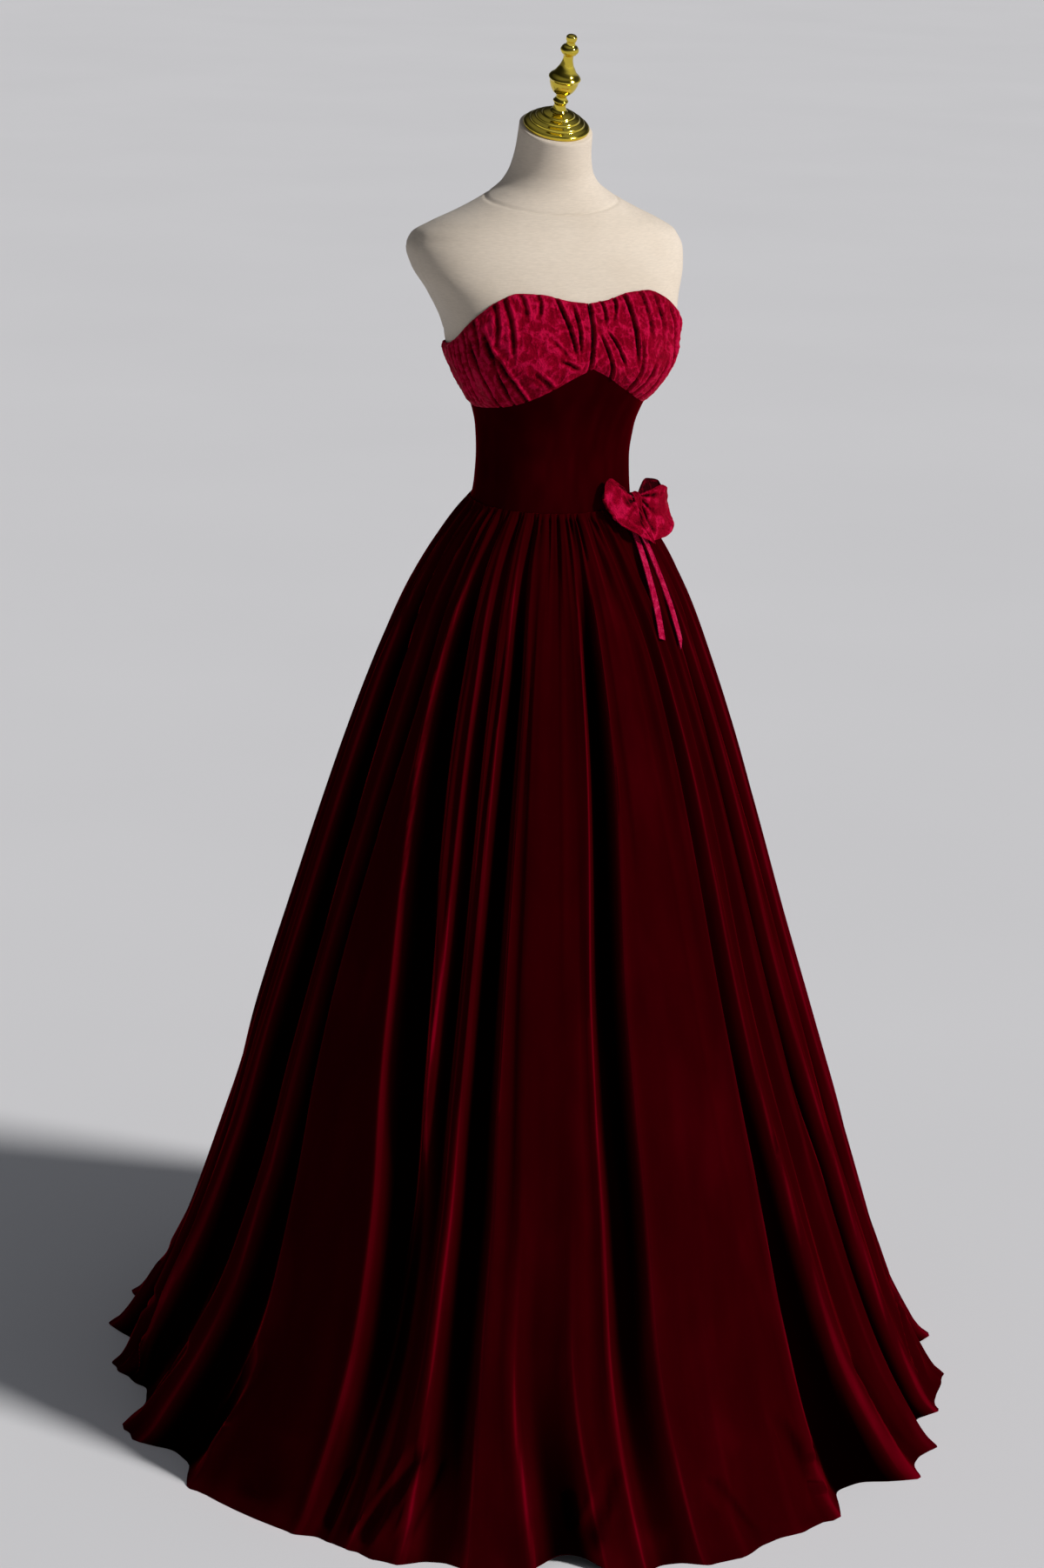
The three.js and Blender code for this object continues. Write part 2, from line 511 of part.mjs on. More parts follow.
// A bodice panel between two edges. lean and stand turn a bearing and a share of its height into
// the bearing there and the distance it stands off the smooth bodice.
function bodicePanel(name, finish, bearings, rows, lowEdge, highEdge, lean, stand) {
  const point = (out) => (c, r) => {
    const up = r / rows;
    const bearing = lean(bearings[c], up);
    const low = lowEdge(bearing) + SEAM_GAP / 2;
    const high = highEdge(bearing) - SEAM_GAP / 2;
    const off = BODICE_EASE + out + stand(bearings[c], up);
    return movedOut(bodyPoint, bearing, low + (high - low) * up, off);
  };
  addMesh(name, wall(bearings.length - 1, rows, point(CLOTH), point(0)), finish);
}
const HALF_SEAM = SEAM_GAP / 2;
const HALF_ZIP = ZIP_WIDTH / 2 + 2 * SEAM_GAP;
// The body's reach at a panel's seams, by which a gap there is turned into degrees.
const SEAM_REACH = { bust: 120, bustBack: 72, midriff: 100, midriffBack: 70 };
function buildBodice() {
  const bustCloth = (name, bearings, rows) =>
    bodicePanel(name, "crushed", bearings, rows, underbustZ, necklineZ, ruchedBearing, rucheHeight);
  bustCloth("bust_front_left", panelBearings(0, 90, 27, HALF_SEAM, HALF_SEAM, SEAM_REACH.bust), 7);
  bustCloth("bust_front_right", panelBearings(-90, 0, 27, HALF_SEAM, HALF_SEAM, SEAM_REACH.bust), 7);
  bustCloth("bust_back_left", panelBearings(90, 180, 18, HALF_SEAM, HALF_ZIP, SEAM_REACH.bustBack), 3);
  bustCloth("bust_back_right", panelBearings(180, 270, 18, HALF_ZIP, HALF_SEAM, SEAM_REACH.bustBack), 3);

  const straight = (bearing) => bearing;
  const flat = () => 0;
  const midriff = (name, bearings, rows) =>
    bodicePanel(name, "velvet", bearings, rows, waistSeamZ, underbustZ, straight, flat);
  midriff("midriff_front", panelBearings(-90, 90, 24, HALF_SEAM, HALF_SEAM, SEAM_REACH.midriff), 8);
  midriff("midriff_back_left", panelBearings(90, 180, 12, HALF_SEAM, HALF_ZIP, SEAM_REACH.midriffBack), 5);
  midriff("midriff_back_right", panelBearings(180, 270, 12, HALF_ZIP, HALF_SEAM, SEAM_REACH.midriffBack), 5);
}

// ---- The skirt ----

const SKIRT_HEIGHTS = SKIRT.map((row) => row.z).reverse();

// The bearings of one row's columns, from fold number first to fold number last: five for each fold,
// close together in its valley and wide apart between valleys.
const SHOULDER = 2.2; // half-widths from a valley's middle to the cloth's roll beside it
const MOST_OF_GAP = 0.18; // of the gap between two valleys, for one half-width
function skirtBearings(first, last, z) {
  const fold = (i) => FOLDS[i % FOLDS.length];
  const bearing = (i) => foldBearing(fold(i), z) + 360 * Math.floor(i / FOLDS.length);
  const list = [];
  for (let i = first; i < last; i += 1) {
    const here = bearing(i);
    const gap = bearing(i + 1) - here;
    const away = (f, widths) => widths * Math.min(foldHalfWidth(f, z), MOST_OF_GAP * gap);
    list.push(here, here + away(fold(i), 1), here + away(fold(i), SHOULDER));
    list.push(here + gap - away(fold(i + 1), SHOULDER), here + gap - away(fold(i + 1), 1));
  }
  list.push(bearing(last));
  return list;
}
function skirtInset(isCentreBack, z) {
  return isCentreBack && z > ZIP_END_Z ? HALF_ZIP : HALF_SEAM;
}
function skirtPanel(name, first, last) {
  const isBack = (i) => i === CENTRE_BACK_FOLD;
  const reachAt = (bearing, z) => Math.hypot(skirtPoint(bearing, z).x, skirtPoint(bearing, z).y);
  const rows = SKIRT_HEIGHTS.map((level) => {
    const bearings = skirtBearings(first, last, level);
    const firstInset = skirtInset(isBack(first), level) / reachAt(bearings[0], level);
    const lastInset = skirtInset(isBack(last), level) / reachAt(bearings.at(-1), level);
    bearings[0] += THREE.MathUtils.radToDeg(firstInset);
    bearings[bearings.length - 1] -= THREE.MathUtils.radToDeg(lastInset);
    return { level, bearings };
  });
  const topRow = rows.length - 1;
  const heightOf = (c, r) => (r === topRow ? waistSeamZ(rows[r].bearings[c]) - SEAM_GAP / 2 : rows[r].level);
  const outer = (c, r) => skirtPoint(rows[r].bearings[c], heightOf(c, r));
  const inner = (c, r) => {
    const point = movedOut(skirtPoint, rows[r].bearings[c], heightOf(c, r), -SKIRT_CLOTH);
    if (r === topRow || r === 0) point.z = outer(c, r).z;
    return point;
  };
  addMesh(name, wall(rows[0].bearings.length - 1, topRow, outer, inner), "velvet");
}
function buildSkirt() {
  skirtPanel("skirt_front", 0, LEFT_SIDE_FOLD);
  skirtPanel("skirt_back_left", LEFT_SIDE_FOLD, CENTRE_BACK_FOLD);
  skirtPanel("skirt_back_right", CENTRE_BACK_FOLD, FOLDS.length);
}

// ---- The zip down the centre back ----

const SLIDER = { width: 5, height: 9, depth: 2.4, lift: 0.9, z: 1394 };
const BRIDGE = { width: 1.6, bar: 1.1, hole: 1.6, root: 0.4 };
const PULL = {
  width: 6, topWidth: 4.8, taper: 4, length: 20, thickness: 1, eyeWidth: 3.6, eyeLength: 4.2, rim: 0.6,
};
const ZIP_DEPTH = 1.4;

// The cloth's face beside the zip, eased from the skirt to the bodice over the waist seam.
const ZIP_EASING = 12;
function zipFace(z) {
  const seam = waistSeamZ(180);
  const blend = clamp(0.5 + (z - seam) / ZIP_EASING, 0, 1);
  const onBodice = movedOut(bodyPoint, 180, Math.max(z, seam), BODICE_EASE + CLOTH).y;
  const onSkirt = skirtPoint(180, Math.min(z, seam)).y;
  return onSkirt + (onBodice - onSkirt) * blend;
}
function zipCoil() {
  const rows = 24;
  const low = ZIP_END_Z + 1;
  const heightAt = (r) => low + ((ZIP_TOP_Z - low) * r) / rows;
  const point = (depth) => (c, r) => {
    const x = ZIP_WIDTH / 2 - ZIP_WIDTH * c;
    return new THREE.Vector3(x, zipFace(heightAt(r)) - depth, heightAt(r));
  };
  return wall(1, rows, point(0), point(ZIP_DEPTH));
}

// Shapes are drawn flat and extruded along +Z; this turns them to stand in the plane x = 0.
const STANDING = new THREE.Matrix4().makeBasis(
  new THREE.Vector3(0, 1, 0),
  new THREE.Vector3(0, 0, 1),
  new THREE.Vector3(1, 0, 0),
);

// The slider's flat body, and on it the small bridge that holds the pull's eye.
const SLIDER_FACE_Y = zipFace(SLIDER.z + SLIDER.height / 2) + SLIDER.lift;
const HINGE_Y = SLIDER_FACE_Y + SLIDER.depth + BRIDGE.hole * 0.75;
function zipSlider() {
  const body = new THREE.BoxGeometry(SLIDER.width, SLIDER.depth, SLIDER.height);
  body.translate(0, SLIDER_FACE_Y + SLIDER.depth / 2, SLIDER.z);
  const arch = new THREE.Shape();
  const outerRadius = BRIDGE.hole + BRIDGE.bar;
  arch.absarc(0, 0, outerRadius, -Math.PI / 2, Math.PI / 2);
  arch.lineTo(-BRIDGE.hole - BRIDGE.root, outerRadius);
  arch.lineTo(-BRIDGE.hole - BRIDGE.root, -outerRadius);
  const hole = new THREE.Path();
  hole.absarc(0, 0, BRIDGE.hole, 0, 2 * Math.PI, true);
  arch.holes.push(hole);
  const extrusion = { depth: BRIDGE.width, bevelEnabled: false, curveSegments: 10 };
  const bridge = new THREE.ExtrudeGeometry(arch, extrusion);
  bridge.translate(0, 0, -BRIDGE.width / 2);
  bridge.applyMatrix4(STANDING);
  bridge.translate(0, HINGE_Y, SLIDER.z);
  return geometryFromSolid(solidOf(body).add(solidOf(bridge)));
}

// The pull hangs from its eye: a rounded tab, narrower at the top, about the hinge at its origin.
function zipPull() {
  const tab = new THREE.Shape();
  const half = PULL.width / 2;
  const top = PULL.rim;
  const end = top - PULL.length + half;
  tab.moveTo(-PULL.topWidth / 2, top);
  tab.lineTo(-half, top - PULL.taper);
  tab.lineTo(-half, end);
  tab.absarc(0, end, half, Math.PI, 2 * Math.PI);
  tab.lineTo(half, top - PULL.taper);
  tab.lineTo(PULL.topWidth / 2, top);
  const eye = new THREE.Path();
  const eyeTop = -PULL.rim;
  eye.moveTo(-PULL.eyeWidth / 2, eyeTop);
  eye.lineTo(PULL.eyeWidth / 2, eyeTop);
  eye.lineTo(PULL.eyeWidth / 2, eyeTop - PULL.eyeLength);
  eye.lineTo(-PULL.eyeWidth / 2, eyeTop - PULL.eyeLength);
  tab.holes.push(eye);
  const extrusion = { depth: PULL.thickness, bevelEnabled: false, curveSegments: 8 };
  const pull = new THREE.ExtrudeGeometry(tab, extrusion);
  pull.translate(0, 0, -PULL.thickness / 2);
  return pull.rotateX(Math.PI / 2);
}
function buildZip() {
  addMesh("zip_coil", zipCoil(), "zip");
  addMesh("zip_slider", zipSlider(), "zip");
  addMesh("zip_pull", zipPull(), "zip").position.set(0, HINGE_Y, SLIDER.z);
}

// ---- The bow at the left of the waist, and its ribbons ----

const BOW = { x: 81.7, y: -73.6, z: 1218.5, lean: 28, facing: 18, cloth: 1.2, belly: 3.5 };
const KNOT = { halfWidth: 5.6, halfHeight: 11.6, halfDepth: 8.3, off: 7, cloth: 1.6 };

// The bow's own frame: x to the viewer's right of it, y up the dress and z away from the cloth.
function bowFrame() {
  const facing = radians(BOW.facing);
  const out = new THREE.Vector3(Math.sin(facing), -Math.cos(facing), 0);
  const right = new THREE.Vector3(Math.cos(facing), Math.sin(facing), 0);
  const frame = new THREE.Matrix4().makeBasis(right, new THREE.Vector3(0, 0, 1), out);
  frame.multiply(new THREE.Matrix4().makeRotationX(radians(-BOW.lean)));
  return frame.setPosition(BOW.x, BOW.y, BOW.z);
}
// One loop: a wall through the table's rows, five points across the band. side is 1 for the loop on
// the viewer's right and -1 for the other.
function bowLoop(table, side) {
  const steps = 22;
  const across = 3;
  const positions = table.map((_, i) => i / (table.length - 1));
  const edge = (name, t) => smoothThrough(positions, table.map((row) => row[name]), t);
  const middle = (t, w) => {
    const up = new THREE.Vector3(side * edge("upOut", t), edge("upUp", t), edge("upOff", t));
    const low = new THREE.Vector3(side * edge("lowOut", t), edge("lowUp", t), edge("lowOff", t));
    const point = low.lerp(up, w);
    const frontOrBack = Math.cos(2 * Math.PI * t) * Math.sin(Math.PI * t);
    point.z += BOW.belly * Math.sin(Math.PI * w) * frontOrBack;
    return point;
  };
  const normal = (t, w) => {
    const d = 0.004;
    const along = middle(Math.min(1, t + d), w).sub(middle(Math.max(0, t - d), w));
    const over = middle(t, Math.min(1, w + d)).sub(middle(t, Math.max(0, w - d)));
    return along.cross(over).normalize().multiplyScalar(side);
  };
  const point = (out) => (c, r) => {
    const t = side > 0 ? c / steps : 1 - c / steps;
    const w = r / across;
    return middle(t, w).addScaledVector(normal(t, w), out);
  };
  return wall(steps, across, point(BOW.cloth / 2), point(-BOW.cloth / 2));
}
// The knot: a short band right round the pinched middle.
function bowKnot() {
  const around = 18;
  const section = (inset) =>
    Array.from({ length: around }, (_, i) => {
      const a = (2 * Math.PI * i) / around;
      const height = (KNOT.halfHeight - inset) * Math.sin(a);
      const depth = (KNOT.halfDepth - inset) * Math.cos(a);
      return new THREE.Vector2(height, KNOT.off - depth);
    });
  const shape = new THREE.Shape(section(0));
  shape.holes.push(new THREE.Path(section(KNOT.cloth).reverse()));
  const band = new THREE.ExtrudeGeometry(shape, { depth: 2 * KNOT.halfWidth, bevelEnabled: false });
  band.translate(0, 0, -KNOT.halfWidth);
  return band.applyMatrix4(STANDING);
}
// A narrow ribbon that hangs from the back of the knot and over the crests of the skirt's folds.
const RIBBON = { halfWidth: 5, off: 1.6, topReach: 114 };
function underRibbon(bearing, z) {
  const at = (name) => column(SKIRT, "z", name, z);
  const s = Math.sin(radians(bearing));
  const c = Math.cos(radians(bearing));
  const crest = ((s / at("halfWidth")) ** 2 + (c / at("halfDepth")) ** 2) ** -0.5;
  const r = Math.max(crest, RIBBON.topReach);
  return new THREE.Vector3(r * s, at("centreY") - r * c, z);
}
function ribbon({ name, topBearing, topZ, endBearing, endZ, slant }) {
  const rows = 9;
  const point = (out) => (c, r) => {
    const share = 1 - r / rows;
    const z = topZ + (endZ - topZ) * share + slant * (2 * c - 1) * share ** 6;
    const bearing = topBearing + (endBearing - topBearing) * share ** 0.7;
    const middle = underRibbon(bearing, z);
    const half = RIBBON.halfWidth * (0.6 + 0.4 * Math.min(1, 3 * share)); // pinched at the knot
    const turn = THREE.MathUtils.radToDeg(half / Math.hypot(middle.x, middle.y));
    return movedOut(underRibbon, bearing + turn * (2 * c - 1), z, RIBBON.off + out);
  };
  addMesh(name, wall(1, rows, point(BOW.cloth), point(0)), "crushed");
}
function buildBow() {
  const bow = new THREE.Group();
  bow.applyMatrix4(bowFrame());
  dress.add(bow);
  addMesh("bow_loop_right", bowLoop(BOW_LOOP_RIGHT, -1), "crushed", bow);
  addMesh("bow_loop_left", bowLoop(BOW_LOOP_LEFT, 1), "crushed", bow);
  addMesh("bow_knot", bowKnot(), "crushed", bow);
  RIBBONS.forEach(ribbon);
}

buildForm();
buildStand();
buildBodice();
buildSkirt();
buildZip();
buildBow();

export default dress;
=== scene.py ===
# %% [markdown]
# # A velvet evening dress on its display form
#
# The frame is the dress as it was built to size: every panel, the form that wears it and the stand.
# Here it gets its looks. Each cloth panel starts as a flat grid, as if cut from the bolt, and its
# points are then moved to where the worn cloth lies, fold by fold. The hard parts are turned or kept.

# %% The frame
import math

import bpy
import numpy as np
from mathutils import Matrix, Vector


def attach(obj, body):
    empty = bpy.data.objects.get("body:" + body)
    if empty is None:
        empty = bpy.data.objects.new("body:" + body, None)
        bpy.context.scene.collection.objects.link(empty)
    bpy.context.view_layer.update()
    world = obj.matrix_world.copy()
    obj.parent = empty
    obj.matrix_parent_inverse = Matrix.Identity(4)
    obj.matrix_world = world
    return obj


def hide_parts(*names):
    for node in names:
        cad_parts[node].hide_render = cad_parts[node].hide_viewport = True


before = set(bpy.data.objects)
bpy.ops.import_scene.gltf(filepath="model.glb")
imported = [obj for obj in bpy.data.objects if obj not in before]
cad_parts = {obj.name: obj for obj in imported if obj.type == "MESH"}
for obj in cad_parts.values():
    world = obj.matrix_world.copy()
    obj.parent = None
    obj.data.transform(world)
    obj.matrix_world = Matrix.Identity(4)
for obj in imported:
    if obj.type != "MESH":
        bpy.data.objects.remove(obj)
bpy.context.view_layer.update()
MM = 0.001  # a millimetre, in metres

# %% [markdown]
# ## The camera
#
# A dress is shown whole, from a little above its waist and a little to one side, so that the bust
# and the train of folds both read. A long lens keeps the hem from swelling towards the viewer.

# %% The camera
CAMERA_PLACE = Vector((-1.6687, -4.0714, 2.17))
CAMERA_TURN = -22.0
CAMERA_TILT = 73.08
CAMERA_ROLL = 1.92
CAMERA_LENS = 80.89
camera_data = bpy.data.cameras.new("camera")
camera_data.lens = CAMERA_LENS
camera = bpy.data.objects.new("camera", camera_data)
bpy.context.scene.collection.objects.link(camera)
camera.matrix_world = (
    Matrix.Translation(CAMERA_PLACE)
    @ Matrix.Rotation(math.radians(CAMERA_TURN), 4, "Z")
    @ Matrix.Rotation(math.radians(CAMERA_TILT), 4, "X")
    @ Matrix.Rotation(math.radians(CAMERA_ROLL), 4, "Z")
)
bpy.context.scene.camera = camera
print("camera:", round(CAMERA_PLACE.length, 2), "m from the origin")

# %% [markdown]
# ## Small helpers for materials
#
# A procedural material is a little net of nodes. These helpers add a node with its settings and
# its values in one line. A pattern is laid out in the object's own coordinates, or in those of its
# texture map, so that it stays put when the object moves.

# %% Nodes
def new_finish(name):
    finish = bpy.data.materials.new(name)
    finish.use_nodes = True
    return finish, finish.node_tree.nodes["Principled BSDF"]


def add_node(finish, kind, settings=(), **values):
    node = finish.node_tree.nodes.new(kind)
    for name, value in dict(settings).items():
        setattr(node, name, value)
    for name, value in values.items():
        node.inputs[name.replace("_", " ")].default_value = value
    return node


def connect(finish, start, end):
    finish.node_tree.links.new(start, end)


def set_inputs(shader, settings):
    for name, value in settings.items():
        shader.inputs[name].default_value = value


def coordinates(finish, stretch=(1, 1, 1), kind="Object"):
    place = add_node(finish, "ShaderNodeTexCoord")
    mapping = add_node(finish, "ShaderNodeMapping", Scale=stretch)
    connect(finish, place.outputs[kind], mapping.inputs["Vector"])
    return mapping.outputs["Vector"]


# %% [markdown]
# ## Patterns and bumps
#
# Most cloth and metal here is noise read through a colour ramp. Ramps are multiplied together, so
# that each adds its own unevenness, and the same noises move the bump, so that colour and relief
# agree. Bumps are chained: each one tilts the normals that the one before it has left.

# %% Patterns and bumps
def grey(value):
    return (value, value, value)


def noise(finish, where, scale, detail=3, roughness=0.5, distortion=0.0):
    settings = {"Scale": scale, "Detail": detail, "Roughness": roughness, "Distortion": distortion}
    node = add_node(finish, "ShaderNodeTexNoise", **settings)
    connect(finish, where, node.inputs["Vector"])
    return node.outputs["Fac"]


def ramp(finish, value, stops):
    node = add_node(finish, "ShaderNodeValToRGB")
    band = node.color_ramp
    while len(band.elements) < len(stops):
        band.elements.new(0.5)
    for element, (position, colour) in zip(band.elements, stops):
        element.position = position
        element.color = (*colour, 1)
    connect(finish, value, node.inputs["Fac"])
    return node.outputs["Color"]


def multiplied(finish, first, second):
    node = add_node(finish, "ShaderNodeMix", {"data_type": "RGBA", "blend_type": "MULTIPLY"})
    node.inputs[0].default_value = 1.0
    connect(finish, first, node.inputs[6])
    connect(finish, second, node.inputs[7])
    return node.outputs[2]


def bumped(finish, shader, heights):
    """Chains bumps, each a height output, its depth in metres and its strength, onto the shader."""
    under = None
    for height, depth, strength in heights:
        bump = add_node(finish, "ShaderNodeBump", Strength=strength, Distance=depth)
        connect(finish, height, bump.inputs["Height"])
        if under is not None:
            connect(finish, under, bump.inputs["Normal"])
        under = bump.outputs["Normal"]
    connect(finish, under, shader.inputs["Normal"])


# %% [markdown]
# ## Velvet
#
# Velvet is a cloth with a short upright pile. Looked at straight on, light sinks between the
# threads and the cloth is nearly black. Where it turns away, their sides catch the light, so
# every fold is drawn by a bright rim. The Principled shader's sheen does just that over a very dark
# base. A mark stored on the mesh also paints light and shade into that base colour: 0 deep in a
# valley is painted shade, about 0.7 is open cloth, and 1, where an edge rolls over, is a painted
# highlight. On the midriff the mark only varies the tone a little at random. Long noises over it are
# the strokes of the brush that last passed.

# %% Dark velvet
# Base colours along the mesh mark: the near-black first stop is painted shade for the valleys, the bright
# last stop a painted highlight for rolled edges and ridges.
NAP_AND_PAINTED_SHADING_COLOURS = [
    (0.0, (0.0008, 0.0, 0.0)),
    (0.35, (0.010, 0.0, 0.0002)),
    (0.72, (0.022, 0.0, 0.0006)),
    (0.88, (0.034, 0.0, 0.0012)),
    (1.0, (0.092, 0.0, 0.0036)),
]


def make_dark_velvet():
    finish, shader = new_finish("dark_velvet")
    # The mesh mark read here carries painted valley shade and painted rim highlights.
    nap_and_painted_shading = add_node(finish, "ShaderNodeAttribute", {"attribute_name": "nap_and_painted_shading"})
    streaks = noise(finish, coordinates(finish, (26, 26, 4)), 1.0, 3, 0.55)
    swaths = noise(finish, coordinates(finish, (15, 15, 1.4)), 1.0, 2, 0.5)
    pile = noise(finish, coordinates(finish), 1400, 2)
    colour = ramp(finish, nap_and_painted_shading.outputs["Fac"], NAP_AND_PAINTED_SHADING_COLOURS)
    for shade in (
        ramp(finish, streaks, [(0.3, grey(0.88)), (0.7, grey(1.1))]),
        ramp(finish, swaths, [(0.54, grey(1.0)), (0.74, (1.4, 1.0, 1.7))]),
        ramp(finish, pile, [(0.3, grey(0.90)), (0.7, grey(1.1))]),
    ):
        colour = multiplied(finish, colour, shade)
    connect(finish, colour, shader.inputs["Base Color"])
    set_inputs(shader, {
        "Roughness": 1.0,
        "Specular IOR Level": 0.0,
        "Sheen Weight": 1.0,
        "Sheen Roughness": 0.25,
        "Sheen Tint": (0.46, 0.0, 0.012, 1),
    })
    brushed = noise(finish, coordinates(finish, (1, 1, 0.25)), 160, 3)
    bumped(finish, shader, [(brushed, 0.0012, 0.10), (pile, 0.0003, 0.08)])
    return finish


DARK_VELVET = make_dark_velvet()

# %% [markdown]
# ## Crushed velvet
#
# For the bust and the bow the velvet is wetted, twisted and pressed, so that its pile lies flat in
# shining patches and stands dull between them. Warped noise gives the patches, a second, sharper
# one the fine veins, and both move the colour and the bump together. A mark stored on the mesh adds
# the crumpled veins and paints shade into the creases and hollows by darkening the base colour
# there. The ribbons are the same cloth, pressed flat and brighter.

# %% Crushed velvet
VEIN_SHARE = 0.42
CRUSHED_COLOURS = [
    (0.30, (0.012, 0.0, 0.0004)),
    (0.56, (0.13, 0.0, 0.0055)),
    (0.82, (0.22, 0.0, 0.0110)),
    (1.0, (0.42, 0.003, 0.038)),
]
RIBBON_COLOURS = [
    (0.40, (0.11, 0.0, 0.006)),
    (0.68, (0.30, 0.001, 0.028)),
    (0.95, (0.55, 0.02, 0.095)),
]


def added_share(finish, base, value, share):
    node = add_node(finish, "ShaderNodeMath", {"operation": "MULTIPLY_ADD"})
    node.inputs[1].default_value = share
    connect(finish, value, node.inputs[0])
    connect(finish, base, node.inputs[2])
    return node.outputs[0]


def make_crushed_velvet(name, colours, crush_and_painted_shade_share):
    finish, shader = new_finish(name)
    where = coordinates(finish)
    patches = noise(finish, where, 46, 5, 0.62, 1.6)
    veins = noise(finish, where, 150, 4, 0.6, 2.4)
    pile = noise(finish, where, 1500, 2)
    crush_and_painted_shade = add_node(finish, "ShaderNodeAttribute", {"attribute_name": "crush_and_painted_shade"})
    shine = added_share(finish, patches, veins, VEIN_SHARE)
    # Painted shade: the mesh mark's share darkens the base colour in creases and hollows, besides adding
    # the crumpled veins.
    shine = added_share(finish, shine, crush_and_painted_shade.outputs["Fac"], crush_and_painted_shade_share)
    connect(finish, ramp(finish, shine, colours), shader.inputs["Base Color"])
    rough = ramp(finish, patches, [(0.35, grey(0.85)), (0.65, grey(0.5))])
    connect(finish, rough, shader.inputs["Roughness"])
    set_inputs(shader, {
        "Specular IOR Level": 0.06,
        "Specular Tint": (1.0, 0.08, 0.25, 1),
        "Sheen Weight": 0.6,
        "Sheen Roughness": 0.3,
        "Sheen Tint": (0.72, 0.004, 0.055, 1),
    })
    bumped(finish, shader, [(patches, 0.0060, 0.5), (veins, 0.0030, 0.9), (pile, 0.0003, 0.25)])
    return finish


CRUSHED_VELVET = make_crushed_velvet("crushed_velvet", CRUSHED_COLOURS, 0.26)
RIBBON_VELVET = make_crushed_velvet("ribbon_velvet", RIBBON_COLOURS, 0.05)

# %% [markdown]
# ## The form's cover
#
# The form wears a tight cream cover of plain-woven cotton. Two crossed bands of waves, one thread
# apart, make the weave, and slow noise lets it yellow unevenly as such covers do.

# %% Cream cover
THREAD = 0.9  # millimetres from one thread of the weave to the next
WEAVE_SCALE = math.pi / (10 * THREAD * MM)  # at scale 1 a wave repeats every pi / 10


def make_cover():
    finish, shader = new_finish("form_cover")
    tone = noise(finish, coordinates(finish), 7, 3)
    cloth = ramp(finish, tone, [(0.35, (0.55, 0.47, 0.38)), (0.65, (0.61, 0.53, 0.44))])
    slub = noise(finish, coordinates(finish, (1, 1, 7)), 120, 3)
    shade = ramp(finish, slub, [(0.3, grey(0.93)), (0.7, grey(1.04))])
    connect(finish, multiplied(finish, cloth, shade), shader.inputs["Base Color"])
    set_inputs(shader, {
        "Roughness": 0.85,
        "Specular IOR Level": 0.25,
        "Sheen Weight": 0.15,
        "Sheen Roughness": 0.5,
    })
    where = coordinates(finish, kind="UV")
    threads = []
    for direction in ("X", "Y"):
        settings = {"bands_direction": direction}
        wave = add_node(finish, "ShaderNodeTexWave", settings, Scale=WEAVE_SCALE, Distortion=0.4)
        connect(finish, where, wave.inputs["Vector"])
        threads.append((wave.outputs["Fac"], 0.00018, 0.30))
    bumped(finish, shader, [*threads, (slub, 0.0006, 0.12)])
    return finish


COVER = make_cover()

# %% [markdown]
# ## Gold, steel and the zip
#
# The cap and finial are plated and polished, so the room's light must show in them: full metal,
# low roughness, and a faint waviness from the buffing wheel. The stand is satin black paint. The
# zip is made in the cloth's colour, so that it hides, and hardly shines.

# %% Metals and nylon
def make_metal(name, colour, roughness, wave, metallic=1.0, shine=0.5):
    finish, shader = new_finish(name)
    tone = noise(finish, coordinates(finish), 60, 2)
    darker = tuple(0.88 * c for c in colour)
    connect(finish, ramp(finish, tone, [(0.35, darker), (0.65, colour)]), shader.inputs["Base Color"])
    smear = noise(finish, coordinates(finish, (1, 1, 3)), 220, 3)
    smears = ramp(finish, smear, [(0.3, grey(0.8 * roughness)), (0.7, grey(1.3 * roughness))])
    connect(finish, smears, shader.inputs["Roughness"])
    set_inputs(shader, {"Metallic": metallic, "Specular IOR Level": shine})
    bumped(finish, shader, [(noise(finish, coordinates(finish), 90, 2), 0.002, wave)])
    return finish


GOLD = make_metal("polished_gold", (0.78, 0.60, 0.07), 0.10, 0.02)
STEEL = make_metal("black_painted_steel", (0.030, 0.030, 0.034), 0.40, 0.05, 0.0)
ZIP_METAL = make_metal("wine_enamel", (0.15, 0.004, 0.015), 0.35, 0.03, 0.0, 0.25)
ZIP_NYLON = make_metal("wine_nylon", (0.045, 0.0008, 0.0035), 0.70, 0.05, 0.0, 0.08)

# %% [markdown]
# ## The floor
#
# A plain pale floor runs out past the frame, and slow noise keeps its shade from being quite even.
# It belongs to the stage and isn't one of the dress's pieces.

# %% Floor
FLOOR_RADIUS = 70.0
FLOOR_DROP = 0.0005  # below the dress, so that the two don't flicker


def make_floor():
    bpy.ops.object.select_all(action="DESELECT")
    bpy.ops.mesh.primitive_circle_add(
        vertices=96, radius=FLOOR_RADIUS, fill_type="NGON", location=(0, 0, -FLOOR_DROP)
    )
    floor = bpy.context.object
    floor.name = "floor"
    finish, shader = new_finish("pale_floor")
    tone = noise(finish, coordinates(finish), 0.8, 3)
    pale = ramp(finish, tone, [(0.3, (0.74, 0.74, 0.76)), (0.7, (0.76, 0.76, 0.78))])
    connect(finish, pale, shader.inputs["Base Color"])
    set_inputs(shader, {"Roughness": 0.9, "Specular IOR Level": 0.1})
    floor.data.materials.append(finish)


make_floor()

# %% [markdown]
# ## The light and the sky
#
# One large soft light comes from the right and a bit in front, so the right flank of every fold
# glows and the left one falls into the dark. The sky is a pale band low down and dark above it, which
# gives the polished metal something to mirror. It is stronger on the light's side, so that it fills
# the shadows only a little.

